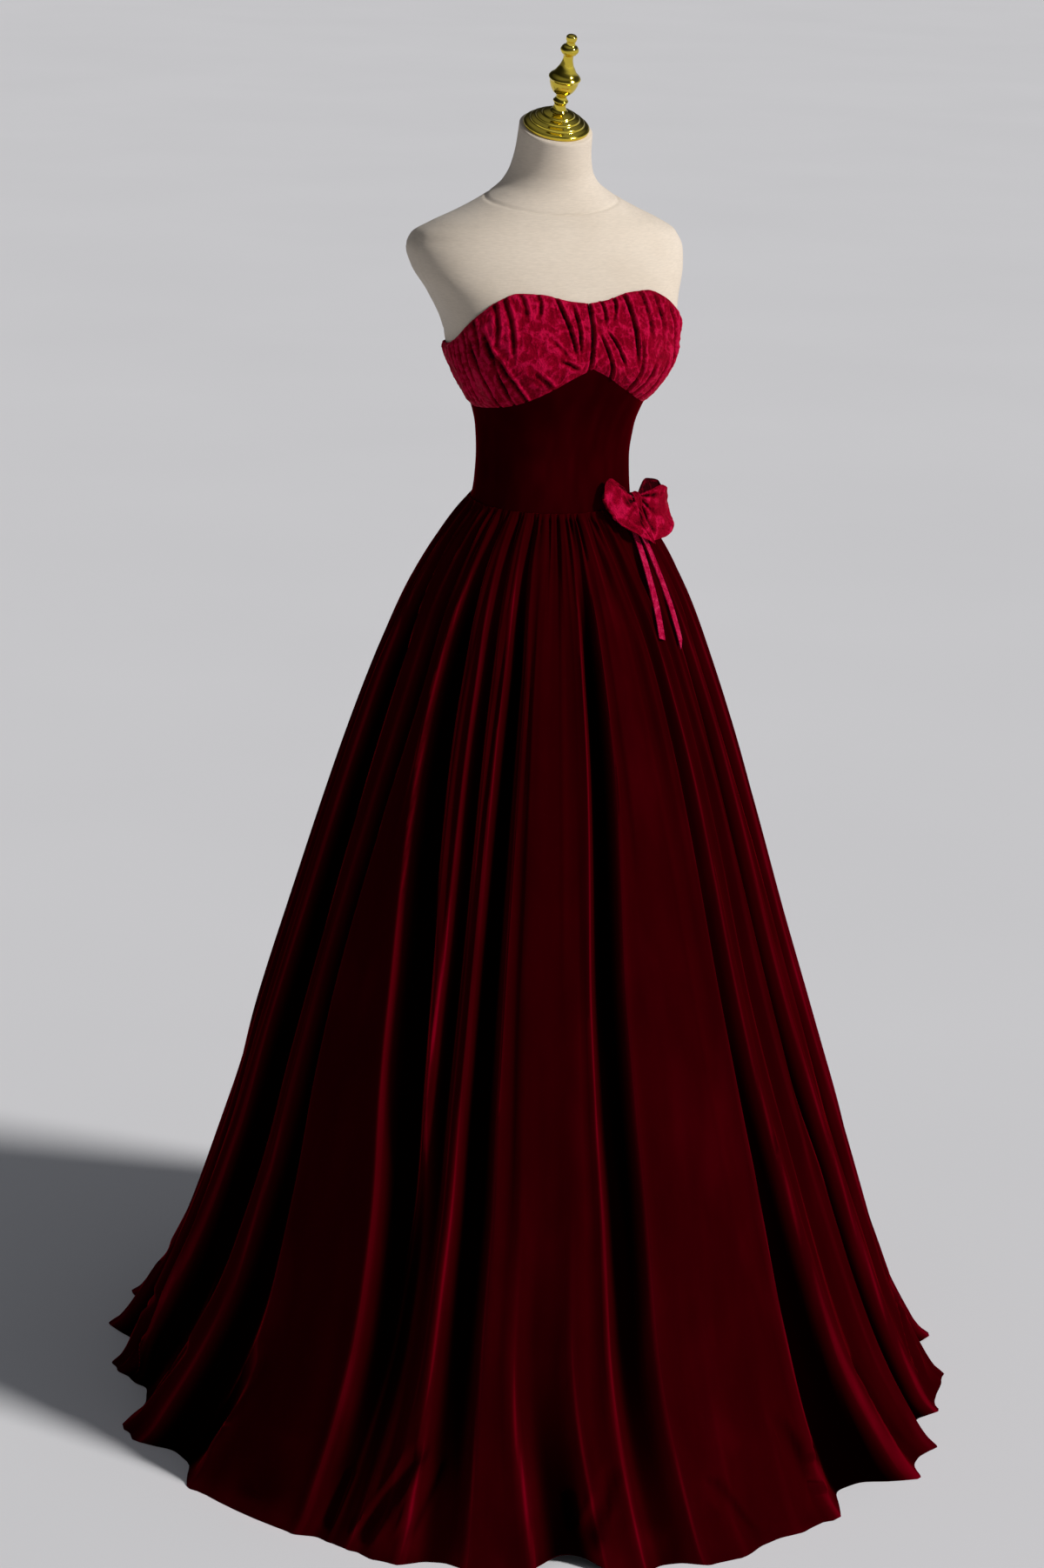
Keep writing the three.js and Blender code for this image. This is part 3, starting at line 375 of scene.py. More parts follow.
# %% Light and sky
LIGHT_TURN = 66.0  # degrees to the right of the camera
LIGHT_HEIGHT = 30.0
LIGHT_STRENGTH = 3.9
LIGHT_SOFTNESS = 9  # degrees across
LIGHT_COLOUR = (1.0, 0.985, 0.97)
SKY_BAND = [(0.0, 0.95), (0.20, 0.62), (0.34, 0.10), (0.62, 0.05), (0.90, 0.5)]  # height, brightness
SKY_COLOUR = (0.90, 0.93, 1.0)
SKY_BY_DIRECTION = {"From Min": -0.6, "From Max": 0.9, "To Min": 0.25, "To Max": 0.95}


def add_sun():
    data = bpy.data.lights.new("key", "SUN")
    data.energy = LIGHT_STRENGTH
    data.angle = math.radians(LIGHT_SOFTNESS)
    data.color = LIGHT_COLOUR
    lamp = bpy.data.objects.new("key", data)
    bpy.context.scene.collection.objects.link(lamp)
    lamp.rotation_euler = (math.radians(90 - LIGHT_HEIGHT), 0, math.radians(CAMERA_TURN + LIGHT_TURN))


def make_sky():
    world = bpy.data.worlds.new("studio")
    world.use_nodes = True
    tree = world.node_tree
    background = tree.nodes["Background"]
    place = tree.nodes.new("ShaderNodeTexCoord")
    parts = tree.nodes.new("ShaderNodeSeparateXYZ")
    band = tree.nodes.new("ShaderNodeValToRGB")
    tree.links.new(place.outputs["Generated"], parts.inputs["Vector"])
    tree.links.new(parts.outputs["Z"], band.inputs["Fac"])
    tree.links.new(band.outputs["Color"], background.inputs["Color"])
    while len(band.color_ramp.elements) < len(SKY_BAND):
        band.color_ramp.elements.new(0.5)
    for element, (position, brightness) in zip(band.color_ramp.elements, SKY_BAND):
        element.position = position
        element.color = (*(brightness * c for c in SKY_COLOUR), 1)
    towards = tree.nodes.new("ShaderNodeVectorMath")
    towards.operation = "DOT_PRODUCT"
    turn = math.radians(CAMERA_TURN + LIGHT_TURN)
    towards.inputs[1].default_value = (math.sin(turn), -math.cos(turn), 0)
    tree.links.new(place.outputs["Generated"], towards.inputs[0])
    strength = tree.nodes.new("ShaderNodeMapRange")
    tree.links.new(towards.outputs["Value"], strength.inputs["Value"])
    set_inputs(strength, SKY_BY_DIRECTION)
    tree.links.new(strength.outputs["Result"], background.inputs["Strength"])
    bpy.context.scene.world = world


add_sun()
make_sky()
bpy.context.scene.view_settings.view_transform = "Standard"

# %% [markdown]
# ## Smooth curves through short tables
#
# A dressmaker's block is a few measured rings. Between them the surface must be smooth but never
# overshoot, so each column of a table is read with a monotone cubic curve.

# %% Reading tables
LATTICE_SIZE = 128


def smooth_through(knots, values, x):
    knots = np.asarray(knots, float)
    values = np.asarray(values, float)
    rise = np.diff(values) / np.diff(knots)
    slope = np.empty_like(values)
    slope[0], slope[-1] = rise[0], rise[-1]
    before, after = rise[:-1], rise[1:]
    total = np.where(before + after == 0, 1, before + after)
    slope[1:-1] = np.where(before * after <= 0, 0, 2 * before * after / total)
    x = np.clip(x, knots[0], knots[-1])
    i = np.clip(np.searchsorted(knots, x, side="left") - 1, 0, len(knots) - 2)
    width = knots[i + 1] - knots[i]
    t = (x - knots[i]) / width
    return (
        values[i] * (1 + 2 * t) * (1 - t) ** 2
        + values[i + 1] * (3 - 2 * t) * t**2
        + width * (slope[i] * t * (1 - t) ** 2 - slope[i + 1] * (1 - t) * t**2)
    )


def as_table(columns, rows):
    """A table as a dict of columns, each an array."""
    return dict(zip(columns.split(), np.array(rows, float).T))


def rows_of(table):
    return [dict(zip(table, values)) for values in zip(*table.values())]


def read(table, key, column, x):
    return smooth_through(table[key], table[column], x)


def ripple(u, v, cell, seed):
    """Smooth seeded unevenness from -1 to 1, its bumps about one cell apart."""
    lattice = np.random.default_rng(seed).uniform(-1, 1, (LATTICE_SIZE, LATTICE_SIZE))
    u, v = u / cell, v / cell
    i, j = np.floor(u).astype(int), np.floor(v).astype(int)
    s, t = u - i, v - j
    s, t = s * s * (3 - 2 * s), t * t * (3 - 2 * t)

    def corner(a, b):
        return lattice[(i + a) % LATTICE_SIZE, (j + b) % LATTICE_SIZE]

    low = corner(0, 0) * (1 - s) + corner(1, 0) * s
    high = corner(0, 1) * (1 - s) + corner(1, 1) * s
    return low * (1 - t) + high * t


def turn_between(a, b):
    """Degrees from b round to a, from -180 to 180."""
    return (a - b + 540) % 360 - 180


def fade(x, start, end):
    """0 before start, 1 past end, smooth between; start may be the larger."""
    t = np.clip((x - start) / (end - start), 0, 1)
    return t * t * (3 - 2 * t)


# %% [markdown]
# ## The body under the dress
#
# All sizes from here on are in millimetres. A bearing is the angle round the body: 0 is the centre
# front, 90 the wearer's left side, 180 the centre back. Each level ring is a superellipse, whose
# exponent squares the chest and rounds the waist.

# %% Body tables
BODY = as_table("z half_width front back centre_y square_front square_back", [
    (980, 122, 84, 94, 4, 2.2, 2.2),
    (1000, 132, 93, 103, 4, 2.2, 2.2),
    (1060, 136, 97, 107, 4, 2.2, 2.2),
    (1110, 130, 93, 102, 2, 2.2, 2.2),
    (1160, 116, 85, 92, -2, 2.1, 2.1),
    (1205, 103, 77, 80, -5, 2.1, 2.1),
    (1240, 98, 74, 74, -7, 2.1, 2.1),
    (1273, 96.5, 73, 72, -7, 2.1, 2.1),
    (1310, 99, 78, 74, -8, 2.2, 2.1),
    (1345, 108, 91, 80, -8, 2.4, 2.1),
    (1375, 124, 107, 86, -7, 2.7, 2.2),
    (1408, 139, 121, 91, -4, 2.9, 2.3),
    (1440, 145, 121, 94, 1, 2.9, 2.4),
    (1477, 160, 120, 85, 16, 2.5, 2.6),
    (1508, 177, 111, 69, 34, 2.3, 2.7),
    (1530, 182, 102, 58, 44, 2.2, 2.7),
    (1547, 175, 96, 48, 48, 2.1, 2.5),
    (1561, 152, 85, 43, 45, 2.1, 2.3),
    (1575, 122, 73, 41, 41, 2, 2.1),
    (1587, 98, 64, 41, 39, 2, 2),
    (1598, 79, 57, 42, 36, 2, 2),
    (1611, 62, 52, 44, 33, 2, 2),
    (1628, 52, 48, 47, 29, 2, 2),
    (1653, 47, 46.6, 46.6, 24, 2, 2),
    (1679, 45.5, 45.5, 45.5, 19, 2, 2),
])
NECKLINE = as_table("bearing z", [
    (0, 1477), (12, 1480), (27, 1487), (38, 1488), (48, 1479), (56, 1465), (66, 1447), (78, 1428),
    (90, 1418), (130, 1411), (180, 1408),
])
UNDERBUST = as_table("bearing z", [
    (0, 1403), (12, 1391), (24, 1376), (44, 1357), (60, 1348), (90, 1340), (180, 1337),
])
WAIST_SEAM_Z = 1217
WAIST_SEAM_DIP = 6
SEAM_LAP = 0.5  # how far a sewn edge runs past its seam, into its neighbour
SKIRT_LAP = 0.8
MIDRIFF_LAP = 1.8  # behind the skirt's puckers
BODICE_EASE = 1.2
BODICE_CLOTH = 1.8
SKIRT_CLOTH = 2.0
ZIP_TOP_Z = 1402
ZIP_END_Z = 1070
HALF_SEAM = 0.15  # half the gap between two panels, side by side
HALF_ZIP = 1.05
BUST_ZIP_EASING = 6.0  # degrees over which the cloth beside the zip is drawn flat
SKIRT_ZIP_EASING = 3.0
NECK_TOP_Z = 1679
NECK_TILT = 20
NECK_TILT_FROM_Z = 1590

# %% [markdown]
# ## Points on the body
#
# These read the tables for a point at any bearing and height. The surface's outward direction comes
# from two short steps along it, one round the body and one up.

# %% Points on the body
def neckline_z(bearing):
    return read(NECKLINE, "bearing", "z", np.abs(turn_between(bearing, 0)))


def underbust_z(bearing):
    return read(UNDERBUST, "bearing", "z", np.abs(turn_between(bearing, 0)))


def waist_seam_z(bearing):
    return WAIST_SEAM_Z - WAIST_SEAM_DIP * np.cos(np.radians(bearing))


def body_point(bearing, z):
    s, c = np.sin(np.radians(bearing)), np.cos(np.radians(bearing))
    ring = {name: read(BODY, "z", name, z) for name in BODY}
    depth = np.where(c > 0, ring["front"], ring["back"])
    square = np.where(c > 0, ring["square_front"], ring["square_back"])
    r = ((np.abs(s) / ring["half_width"]) ** square + (np.abs(c) / depth) ** square) ** (-1 / square)
    return np.stack([r * s, ring["centre_y"] - r * c, z + 0 * r], -1)


def outward(surface, bearing, z):
    """Unit normals of a surface given as a function of bearing and height."""
    across = surface(bearing + 0.12, z) - surface(bearing - 0.12, z)
    up = surface(bearing, z + 0.6) - surface(bearing, z - 0.6)
    normal = np.cross(across, up)
    return normal / np.linalg.norm(normal, axis=-1, keepdims=True)


# %% [markdown]
# ## From a flat grid to worn cloth
#
# The quickest way to make a panel by hand is a grid: its columns are the cloth's lengthwise threads
# and its rows the crosswise ones. The grid's own texture map is stretched to the panel's real size,
# then every point is moved to its place on the body, and Solidify gives the cloth its thickness.

# %% Cloth helper
CRISP_EDGE = 70  # degrees; a sharper turn between two faces isn't smoothed


def read_points(piece):
    points = np.empty(len(piece.data.vertices) * 3)
    piece.data.vertices.foreach_get("co", points)
    return points.reshape(-1, 3)


def move_points(piece, points):
    piece.data.vertices.foreach_set("co", points.ravel())


def length_along(points):
    return np.linalg.norm(np.diff(points, axis=0), axis=-1).sum() * MM


def add_modifier(piece, kind, **settings):
    """Adds a modifier to the piece and applies it at once."""
    bpy.ops.object.select_all(action="DESELECT")
    piece.select_set(True)
    bpy.context.view_layer.objects.active = piece
    bpy.ops.object.modifier_add(type=kind)
    modifier = piece.modifiers[-1]
    for name, value in settings.items():
        setattr(modifier, name, value)
    bpy.ops.object.modifier_apply(modifier=modifier.name)


def lay_cloth(name, points, thickness, offset=-1.0, marks=None):
    """A panel through points[column, row], in millimetres; marks are attributes for its material."""
    columns, rows = points.shape[0] - 1, points.shape[1] - 1
    bpy.ops.object.select_all(action="DESELECT")
    bpy.ops.mesh.primitive_grid_add(x_subdivisions=columns, y_subdivisions=rows, size=1, location=(0, 0, 0))
    piece = bpy.context.object
    piece.name = piece.data.name = name
    flat = read_points(piece) + 0.5
    column = np.rint(flat[:, 0] * columns).astype(int)
    row = np.rint(flat[:, 1] * rows).astype(int)
    move_points(piece, points[column, row] * MM)
    for mark, values in (marks or {}).items():
        attribute = piece.data.attributes.new(mark, "FLOAT", "POINT")
        attribute.data.foreach_set("value", values[column, row].astype(np.float32))
    width = length_along(points[:, rows // 2])
    length = length_along(points[columns // 2])
    uv = piece.data.uv_layers.active.data
    texture_points = np.empty(len(uv) * 2)
    uv.foreach_get("uv", texture_points)
    uv.foreach_set("uv", (texture_points.reshape(-1, 2) * (width, length)).ravel())
    area = sum(p.area for p in piece.data.polygons)
    if thickness:
        add_modifier(piece, "SOLIDIFY", thickness=thickness * MM, offset=offset)
    bpy.ops.object.shade_smooth_by_angle(angle=math.radians(CRISP_EDGE))
    print(f"{name}: {len(piece.data.polygons)} faces, {area:.4f} m2, {width:.3f} x {length:.3f} m")
    return piece


def dress(piece, finish, slot, *nodes, body="dress_on_form"):
    """Gives a piece its finish and its place in the frame."""
    piece.data.materials.clear()
    piece.data.materials.append(finish)
    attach(piece, body)
    if nodes:
        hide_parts(*nodes)
    return piece


# %% [markdown]
# ## The skirt's folds
#
# A gathered velvet skirt falls in a few deep folds that open towards the hem and lean a little on
# their way down. One row below is one valley: its bearings down the skirt, its depths, its
# half-widths in degrees, how far the hem's lobe after it reaches, and how far it lifts the hem.

# %% Skirt tables
SKIRT = as_table("z half_width half_depth centre_x centre_y", [
    (0, 568, 568, 0, 0),
    (12, 555, 555, 1, 0),
    (50, 534, 534, 3, 0),
    (120, 501, 501, 7, 0),
    (230, 460, 460, 11, 0),
    (370, 415, 415, 11, 0),
    (520, 371, 371, 6, 0),
    (670, 325, 324, 3, 0),
    (810, 283, 278, 2, 0),
    (930, 245, 235, 1, -1),
    (1020, 213, 198, 0, -3),
    (1090, 185, 166, 0, -4),
    (1140, 160, 138, 0, -5),
    (1175, 139, 116, 0, -6),
    (1200, 121, 98, 0, -6),
    (1217, 106.6, 83, 0, -5),
])
FOLDS = as_table("waist hip mid low hem gather drape sweep narrow open reach lift", [
    (-87, -87, -87, -89, -97, 5, 25, 34, 4.6, 5, -6, 0),
    (-71, -69.5, -73, -73, -77, 5, 13, 26, 1.9, 4.5, -7, 0),
    (-58, -56, -49, -45.5, -47, 6, 24, 8, 3.2, 2.4, 4, 0),
    (-47, -42.7, -40.3, -41, -43, 5, 13, 5, 1.7, 2, 10, 0),
    (-36, -32.4, -32.2, -33, -32, 6, 20, 10, 2.3, 2.6, 0, 0),
    (-19, -18, -19, -20, -15, 4, 1, 15, 3, 3, 10, 16),
    (-4, -3.8, -6.2, -5.8, -2, 5, 21, 9, 2.5, 2.5, 18, 0),
    (9, 14, 11, 11, 12, 6, 1, 6, 3, 3, 4, 0),
    (20, 25.5, 24.5, 27, 31, 5, 12, 36, 1.8, 4.6, 24, 0),
    (33, 36, 34, 38, 43, 4, 8, 7, 1.7, 2.5, 16, 0),
    (46, 45, 42.5, 48, 53, 5, 14, 20, 2.2, 3, 2, 0),
    (59, 57, 55, 59, 62, 5, 14, 3, 2.6, 2.6, 12, 0),
    (71, 71, 70, 72, 75, 5, 9, 24, 2, 3.4, 20, 6),
    (84, 84, 84, 86, 89, 5, 20, 9, 3.2, 4, 16, 0),
    (97, 98, 98, 100, 101, 5, 3, 20, 2.6, 3, 14, 0),
    (110, 112, 112, 113, 114, 6, 22, 30, 2.8, 4.4, 8, 10),
    (123, 124, 126, 127, 127, 5, 10, 14, 1.9, 3, 16, 0),
    (136, 138, 139, 140, 142, 5, 23, 32, 3, 4.2, 22, 0),
    (150, 151, 152, 153, 153, 5, 5, 8, 2.6, 2.8, 20, 0),
    (164, 165, 165, 164, 165, 5, 19, 27, 2.4, 4, 24, 8),
    (180, 180, 180, 180, 180, 3.4, 0, 0, 3, 3, 24, 0),
    (195, 195, 196, 197, 197, 5, 21, 28, 2.7, 4, 16, 0),
    (208, 208, 207, 206, 208, 5, 8, 12, 1.9, 2.8, 20, 0),
    (221, 220, 219, 219, 221, 6, 23, 32, 3, 4.4, 10, 10),
    (234, 233, 233, 234, 234, 5, 11, 11, 2.1, 2.8, 6, 0),
    (247, 246, 246, 247, 246, 5, 19, 26, 2.6, 3.6, -12, 0),
    (260, 259, 258, 257, 255, 5, 8, 10, 2.2, 2.4, -12, 0),
])

# %% [markdown]
# ## The shape of a fold
#
# A valley's depth, width and bearing change on its way down to the hem, so each is read from a
# few heights. Across, it has a flat floor and crisp ridges, where the thick cloth rolls over.

# %% Folds
FOLD_COUNT = len(FOLDS["waist"])
LEFT_SIDE_FOLD = int(np.flatnonzero(FOLDS["waist"] == 84)[0])
CENTRE_BACK_FOLD = int(np.flatnonzero(FOLDS["waist"] == 180)[0])
BEARING_HEIGHTS = [0, 250, 620, 1000, WAIST_SEAM_Z]
FOLD_HEIGHTS = [0, 250, 620, 1000, 1170, 1200, WAIST_SEAM_Z]
SEAM_GATHER = 0.6
FOLD_DEEPENING = 1.3  # the soft cloth sinks deeper between its folds than its stiffer block
SEAM_DIP_FADES_BELOW = 1080


def fold_row(i):
    return {name: column[i % FOLD_COUNT] for name, column in FOLDS.items()}


def fold_bearing(f, z):
    return smooth_through(BEARING_HEIGHTS, [f[part] for part in ("hem", "low", "mid", "hip", "waist")], z)


def fold_depth(f, z):
    half_way = (f["sweep"] + f["drape"]) / 2
    hip = 0.75 * f["drape"] + 0.25 * f["gather"]
    depths = [f["sweep"], half_way, f["drape"], hip, f["gather"], 0.8 * f["gather"], SEAM_GATHER]
    return FOLD_DEEPENING * smooth_through(FOLD_HEIGHTS, depths, z)


def fold_half_width(f, z):
    widths = [f["open"], (f["open"] + f["narrow"]) / 2, f["narrow"], f["narrow"] + 0.2, 2.3, 2.2, 2.2]
    return smooth_through(FOLD_HEIGHTS, widths, z)


def valley(x):
    """1 over its flat floor, and below 0 along the crisp ridges where the cloth rolls over beside it."""
    return 1 / (1 + x**4) - 0.24 * np.exp(-((np.abs(x) - 1.7) ** 2) / 0.11)


# %% [markdown]
# ## Small gathers and creases
#
# Between the big folds the real cloth is never smooth. A few long shallow troughs run beside them,
# and where the hem meets the floor the cloth buckles in short slanted creases. Each one is a row
# here: the bearing and height of its two ends, its depth, and its half-width in degrees.

# %% Crease tables
TROUGHS = as_table("top_bearing top_z end_bearing end_z depth half_width", [
    (-80, 1150, -81, 120, 5, 2.2),
    (-65, 1120, -62, 60, 6, 1.8),
    (-52.5, 1180, -44, 420, 3.5, 1.0),
    (-37.5, 1170, -37, 500, 3.0, 0.9),
    (-28, 1190, -26, 260, 4.0, 1.3),
    (-13, 1195, -13, 640, 3.0, 1.6),
    (-11, 700, -12, 90, 4, 1.2),
    (2, 1185, 3, 760, 3.0, 1.2),
    (7, 560, 4, 30, 2.5, 1.6),
    (16, 1190, 19, 180, 4.5, 1.7),
    (29.5, 1170, 31, 420, 3.0, 1.1),
    (40, 1160, 40, 300, 4.0, 1.2),
    (52, 1160, 53, 260, 5.0, 1.5),
    (64, 1150, 66, 120, 5.0, 1.8),
    (78, 1150, 80, 100, 5.0, 1.8),
    (91, 1150, 94, 60, 6.0, 2.0),
    (104, 1140, 106, 180, 5.0, 1.8),
    (118, 1150, 120, 60, 4.5, 1.6),
    (131, 1150, 133, 220, 4.5, 1.6),
    (145, 1150, 147, 40, 6.0, 2.0),
    (158, 1150, 159, 320, 4.0, 1.5),
    (171, 1040, 172, 80, 5.0, 1.8),
    (188, 1040, 188, 60, 5.5, 2.0),
    (202, 1150, 201, 260, 4.5, 1.7),
    (214, 1150, 214, 40, 6.0, 1.9),
    (228, 1150, 227, 200, 4.5, 1.6),
    (241, 1150, 240, 60, 5.0, 1.8),
    (253, 1150, 252, 120, 5.0, 1.7),
    (266, 1150, 265, 60, 5.0, 1.8),
])
HEM_CREASES = as_table("top_bearing top_z end_bearing end_z depth half_width", [
    (-84, 137.5, -90, 8, 11, 1.3),
    (-66, 187.5, -73.5, 6, 14.2, 1.4),
    (-58, 110, -60.5, 6, 9.5, 0.9),
    (-46.5, 80, -48, 4, 7, 0.8),
    (-36, 128, -42.5, 3, 12.6, 1),
    (-33.5, 112, -36.5, 20, 7, 0.8),
    (-16, 75, -15.2, 2, 11, 1.1),
    (-9, 112.5, -13.5, 4, 9.5, 1),
    (4, 87.5, 10, 2, 9.5, 1.1),
    (17, 137.5, 23, 4, 11, 1.1),
    (25, 87.5, 20.5, 2, 7.9, 0.8),
    (37, 150, 43, 4, 11, 1),
    (48, 112.5, 54, 4, 11, 1),
    (57, 137.5, 60, 4, 12.6, 1.1),
    (68, 150, 62, 4, 11, 1.1),
    (82, 137.5, 86.5, 4, 12.6, 1.2),
    (95, 112.5, 89, 4, 11, 1.1),
    (107, 150, 111.5, 4, 11, 1.2),
    (121, 125, 116.5, 4, 12.6, 1.1),
    (134, 137.5, 140, 4, 12.6, 1.2),
    (148, 112.5, 143.5, 4, 11, 1.1),
    (159, 150, 163.5, 4, 12.6, 1.2),
    (173, 125, 177.5, 4, 12.6, 1.1),
    (186, 137.5, 181.5, 4, 11, 1.2),
    (201, 112.5, 205.5, 4, 12.6, 1.1),
    (214, 150, 209.5, 4, 12.6, 1.2),
    (227, 125, 231.5, 4, 11, 1.1),
    (240, 137.5, 235.5, 4, 12.6, 1.2),
    (252, 112.5, 256.5, 4, 9.5, 0.9),
])

# %% [markdown]
# ## Pushing the cloth in
#
# Every crease fades out at both its ends. Where the skirt is gathered into the waist seam, dozens of
# short puckers start and die within a hand's width. There are too many to place by hand, so a seeded
# loop spreads them unevenly. Beside the zip the cloth is held flat.

# %% Creases and puckers
PUCKER_STEP = 5.2  # degrees from one pucker to the next
PUCKER_COUNT = int(360 / PUCKER_STEP)
PUCKER_HALF_WIDTH = 1.1
PUCKER_LENGTH, PUCKER_LENGTH_SPREAD = 34, 70
PUCKER_DEPTH, PUCKER_DEPTH_SPREAD = 3.2, 3.4
PUCKER_DRAWS = np.random.default_rng(11).uniform(0, 1, (PUCKER_COUNT + 1, 3))  # place, length, depth


def crease_line(row, bearing, z):
    """How far inwards one slanting crease pushes the cloth, faded out at both its ends."""
    along = (row["top_z"] - z) / (row["top_z"] - row["end_z"])
    middle = row["top_bearing"] + (row["end_bearing"] - row["top_bearing"]) * np.clip(along, -0.2, 1.2)
    ends = fade(along, -0.02, 0.22) * fade(along, 1.06, 0.8)
    return row["depth"] * ends * valley(turn_between(bearing, middle) / row["half_width"])


def drawn_flat(bearing, easing):
    """0 at the zip, where both edges of the cloth are held flat, and 1 beyond the easing."""
    return fade(np.abs(turn_between(bearing, 180)), 0.3, easing)


def pucker_depth(bearing, below_seam):
    depth = np.zeros_like(bearing)
    for k in range(PUCKER_COUNT):
        place, longer, deeper = PUCKER_DRAWS[k]
        middle = -180 + PUCKER_STEP * (k + place)
        length = PUCKER_LENGTH + PUCKER_LENGTH_SPREAD * longer**2
        fades = fade(below_seam, -1, 7) * np.exp(-((np.maximum(below_seam, 0) / length) ** 2))
        across = turn_between(bearing, middle) / PUCKER_HALF_WIDTH
        depth += (PUCKER_DEPTH + PUCKER_DEPTH_SPREAD * deeper) * fades * valley(across)
    return depth * drawn_flat(bearing, SKIRT_ZIP_EASING)


def crease_depth(table, bearing, z):
    return sum(crease_line(row, bearing, z) for row in rows_of(table))


# %% [markdown]
# ## The skirt's surface
#
# Every point's reach is that of the folds' crests at its height, less the depth of each valley
# near it and of the small creases, plus the lobe that the hem makes on the floor.

# %% Skirt surface
FOLD_SPREAD = 40  # degrees to each side, beyond which a fold no longer tells
RIM_AT = 1.5  # the rolled edge beside a valley, in half-widths of that valley
RIM_HALF_WIDTH = 0.15
LOBES_BELOW = 240
LOBE_SHARE = 0.6  # of the gap between two valleys
LIFT_HALF_WIDTH = 4.5


def crest_radius(bearing, z):
    """How far the folds' crests reach out from the skirt's middle."""
    s, c = np.sin(np.radians(bearing)), np.cos(np.radians(bearing))
    half_width, half_depth = read(SKIRT, "z", "half_width", z), read(SKIRT, "z", "half_depth", z)
    return ((s / half_width) ** 2 + (c / half_depth) ** 2) ** -0.5


def skirt_point(bearing, z, creased=True):
    """The outside of the skirt, how deep in a valley each point lies and how near a rolled edge."""
    dip = WAIST_SEAM_Z - waist_seam_z(bearing)
    span = waist_seam_z(bearing) - SEAM_DIP_FADES_BELOW
    ring_z = z + dip * np.clip((z - SEAM_DIP_FADES_BELOW) / span, 0, 1)
    depth = np.zeros_like(ring_z)
    reach = np.zeros_like(ring_z)
    lift = np.zeros_like(ring_z)
    rim = np.zeros_like(ring_z)
    near_floor = np.clip(1 - z / LOBES_BELOW, 0, 1) ** 2
    for i in range(FOLD_COUNT):
        f, following = fold_row(i), fold_row(i + 1)
        away = turn_between(bearing, fold_bearing(f, ring_z))
        near = np.abs(away) <= FOLD_SPREAD
        deep, across = fold_depth(f, ring_z), away / fold_half_width(f, ring_z)
        depth += near * deep * valley(across)
        # rim marks where a valley's rolled edge lies; the material paints a highlight there.
        from_rim = (np.abs(across) - RIM_AT) / RIM_HALF_WIDTH
        rim = np.maximum(rim, fade(deep, 3, 14) * np.exp(-(from_rim**2)))
        lift += near * f["lift"] * near_floor * np.exp(-((away / LIFT_HALF_WIDTH) ** 2))
        gap = turn_between(following["hem"], f["hem"])
        lobe = turn_between(bearing, f["hem"] + gap / 2) / (LOBE_SHARE * gap)
        reach += near * f["reach"] * near_floor * np.exp(-(lobe**2))
    # pressed, the valleys' depth with puckers and troughs but not the hem's creases, later sets the painted
    # shade and ridge highlights of the skirt's material.
    pressed = depth
    if creased:
        puckers = pucker_depth(bearing, waist_seam_z(bearing) - z)
        pressed = depth + puckers + crease_depth(TROUGHS, bearing, z)
        depth = pressed + crease_depth(HEM_CREASES, bearing, z)
    r = crest_radius(bearing, ring_z) - depth + reach
    turn = np.radians(bearing)
    x = read(SKIRT, "z", "centre_x", ring_z) + r * np.sin(turn)
    y = read(SKIRT, "z", "centre_y", ring_z) - r * np.cos(turn)
    return np.stack([x, y, z + lift], -1), pressed, rim


# %% [markdown]
# ## Cutting the skirt's columns
#
# Cloth needs its points where it turns sharply. So the columns of each row crowd into the valleys,
# and only two stand on the open cloth between them.

# %% Skirt columns
VALLEY_STEPS = [0, 0.35, 0.6, 0.8, 1.0, 1.2, 1.4, 1.6, 1.8, 2.05, 2.4, 2.9]  # in its half-widths
COLUMNS_BETWEEN = 2
MOST_OF_GAP = 0.16  # of the gap between two valleys, for one half-width


def crowded_steps(i, z, gap):
    """Degrees from a valley's middle to the columns beside it."""
    half_width = fold_half_width(fold_row(i), z)
    return [np.minimum(step * half_width, step * MOST_OF_GAP * gap) for step in VALLEY_STEPS]


def turned_fold_bearing(i, z):
    return fold_bearing(fold_row(i), z) + 360 * (i // FOLD_COUNT)


def skirt_bearings(first, last, z):
    """Bearings [column, row] of a panel between two valleys."""
    columns = []
    for i in range(first, last):
        here, there = turned_fold_bearing(i, z), turned_fold_bearing(i + 1, z)
        after = [here + step for step in crowded_steps(i, z, there - here)]
        before = [there - step for step in crowded_steps(i + 1, z, there - here)]
        shares = np.arange(1, COLUMNS_BETWEEN + 1) / (COLUMNS_BETWEEN + 1)
        between = [after[-1] + (before[-1] - after[-1]) * share for share in shares]
        columns += [*after, *between, *before[:0:-1]]
    columns.append(turned_fold_bearing(last, z))
    return np.array(columns)


# %% [markdown]
# ## Laying the skirt's three panels
#
# The front is one wide panel, the back two that meet at the zip. Their rows crowd at the waist and
# at the hem. The depth of the valleys also sets a mark for the material, which paints shade into
# the valleys and highlights onto their rolled edges.

# %% Skirt panels
SKIRT_ROWS = 144
ROW_SHARES = [0, 0.2, 0.85, 1]
ROW_HEIGHTS = [0, 130, 1130, WAIST_SEAM_Z]
DIPPING_ROWS = 11  # just under the waist row, bent gradually to the seam's dip
# Values of the skirt's shading mark: open cloth, the painted highlight on rolled edges and ridges, and the
# valley depths over which painted shade sets in.
OPEN_NAP = 0.70
RIM_PAINTED_HIGHLIGHT = 0.3
RIDGE_FOR_FULL_PAINTED_HIGHLIGHT = 40
PAINTED_VALLEY_SHADE_BETWEEN = (5, 19)  # depths in a valley


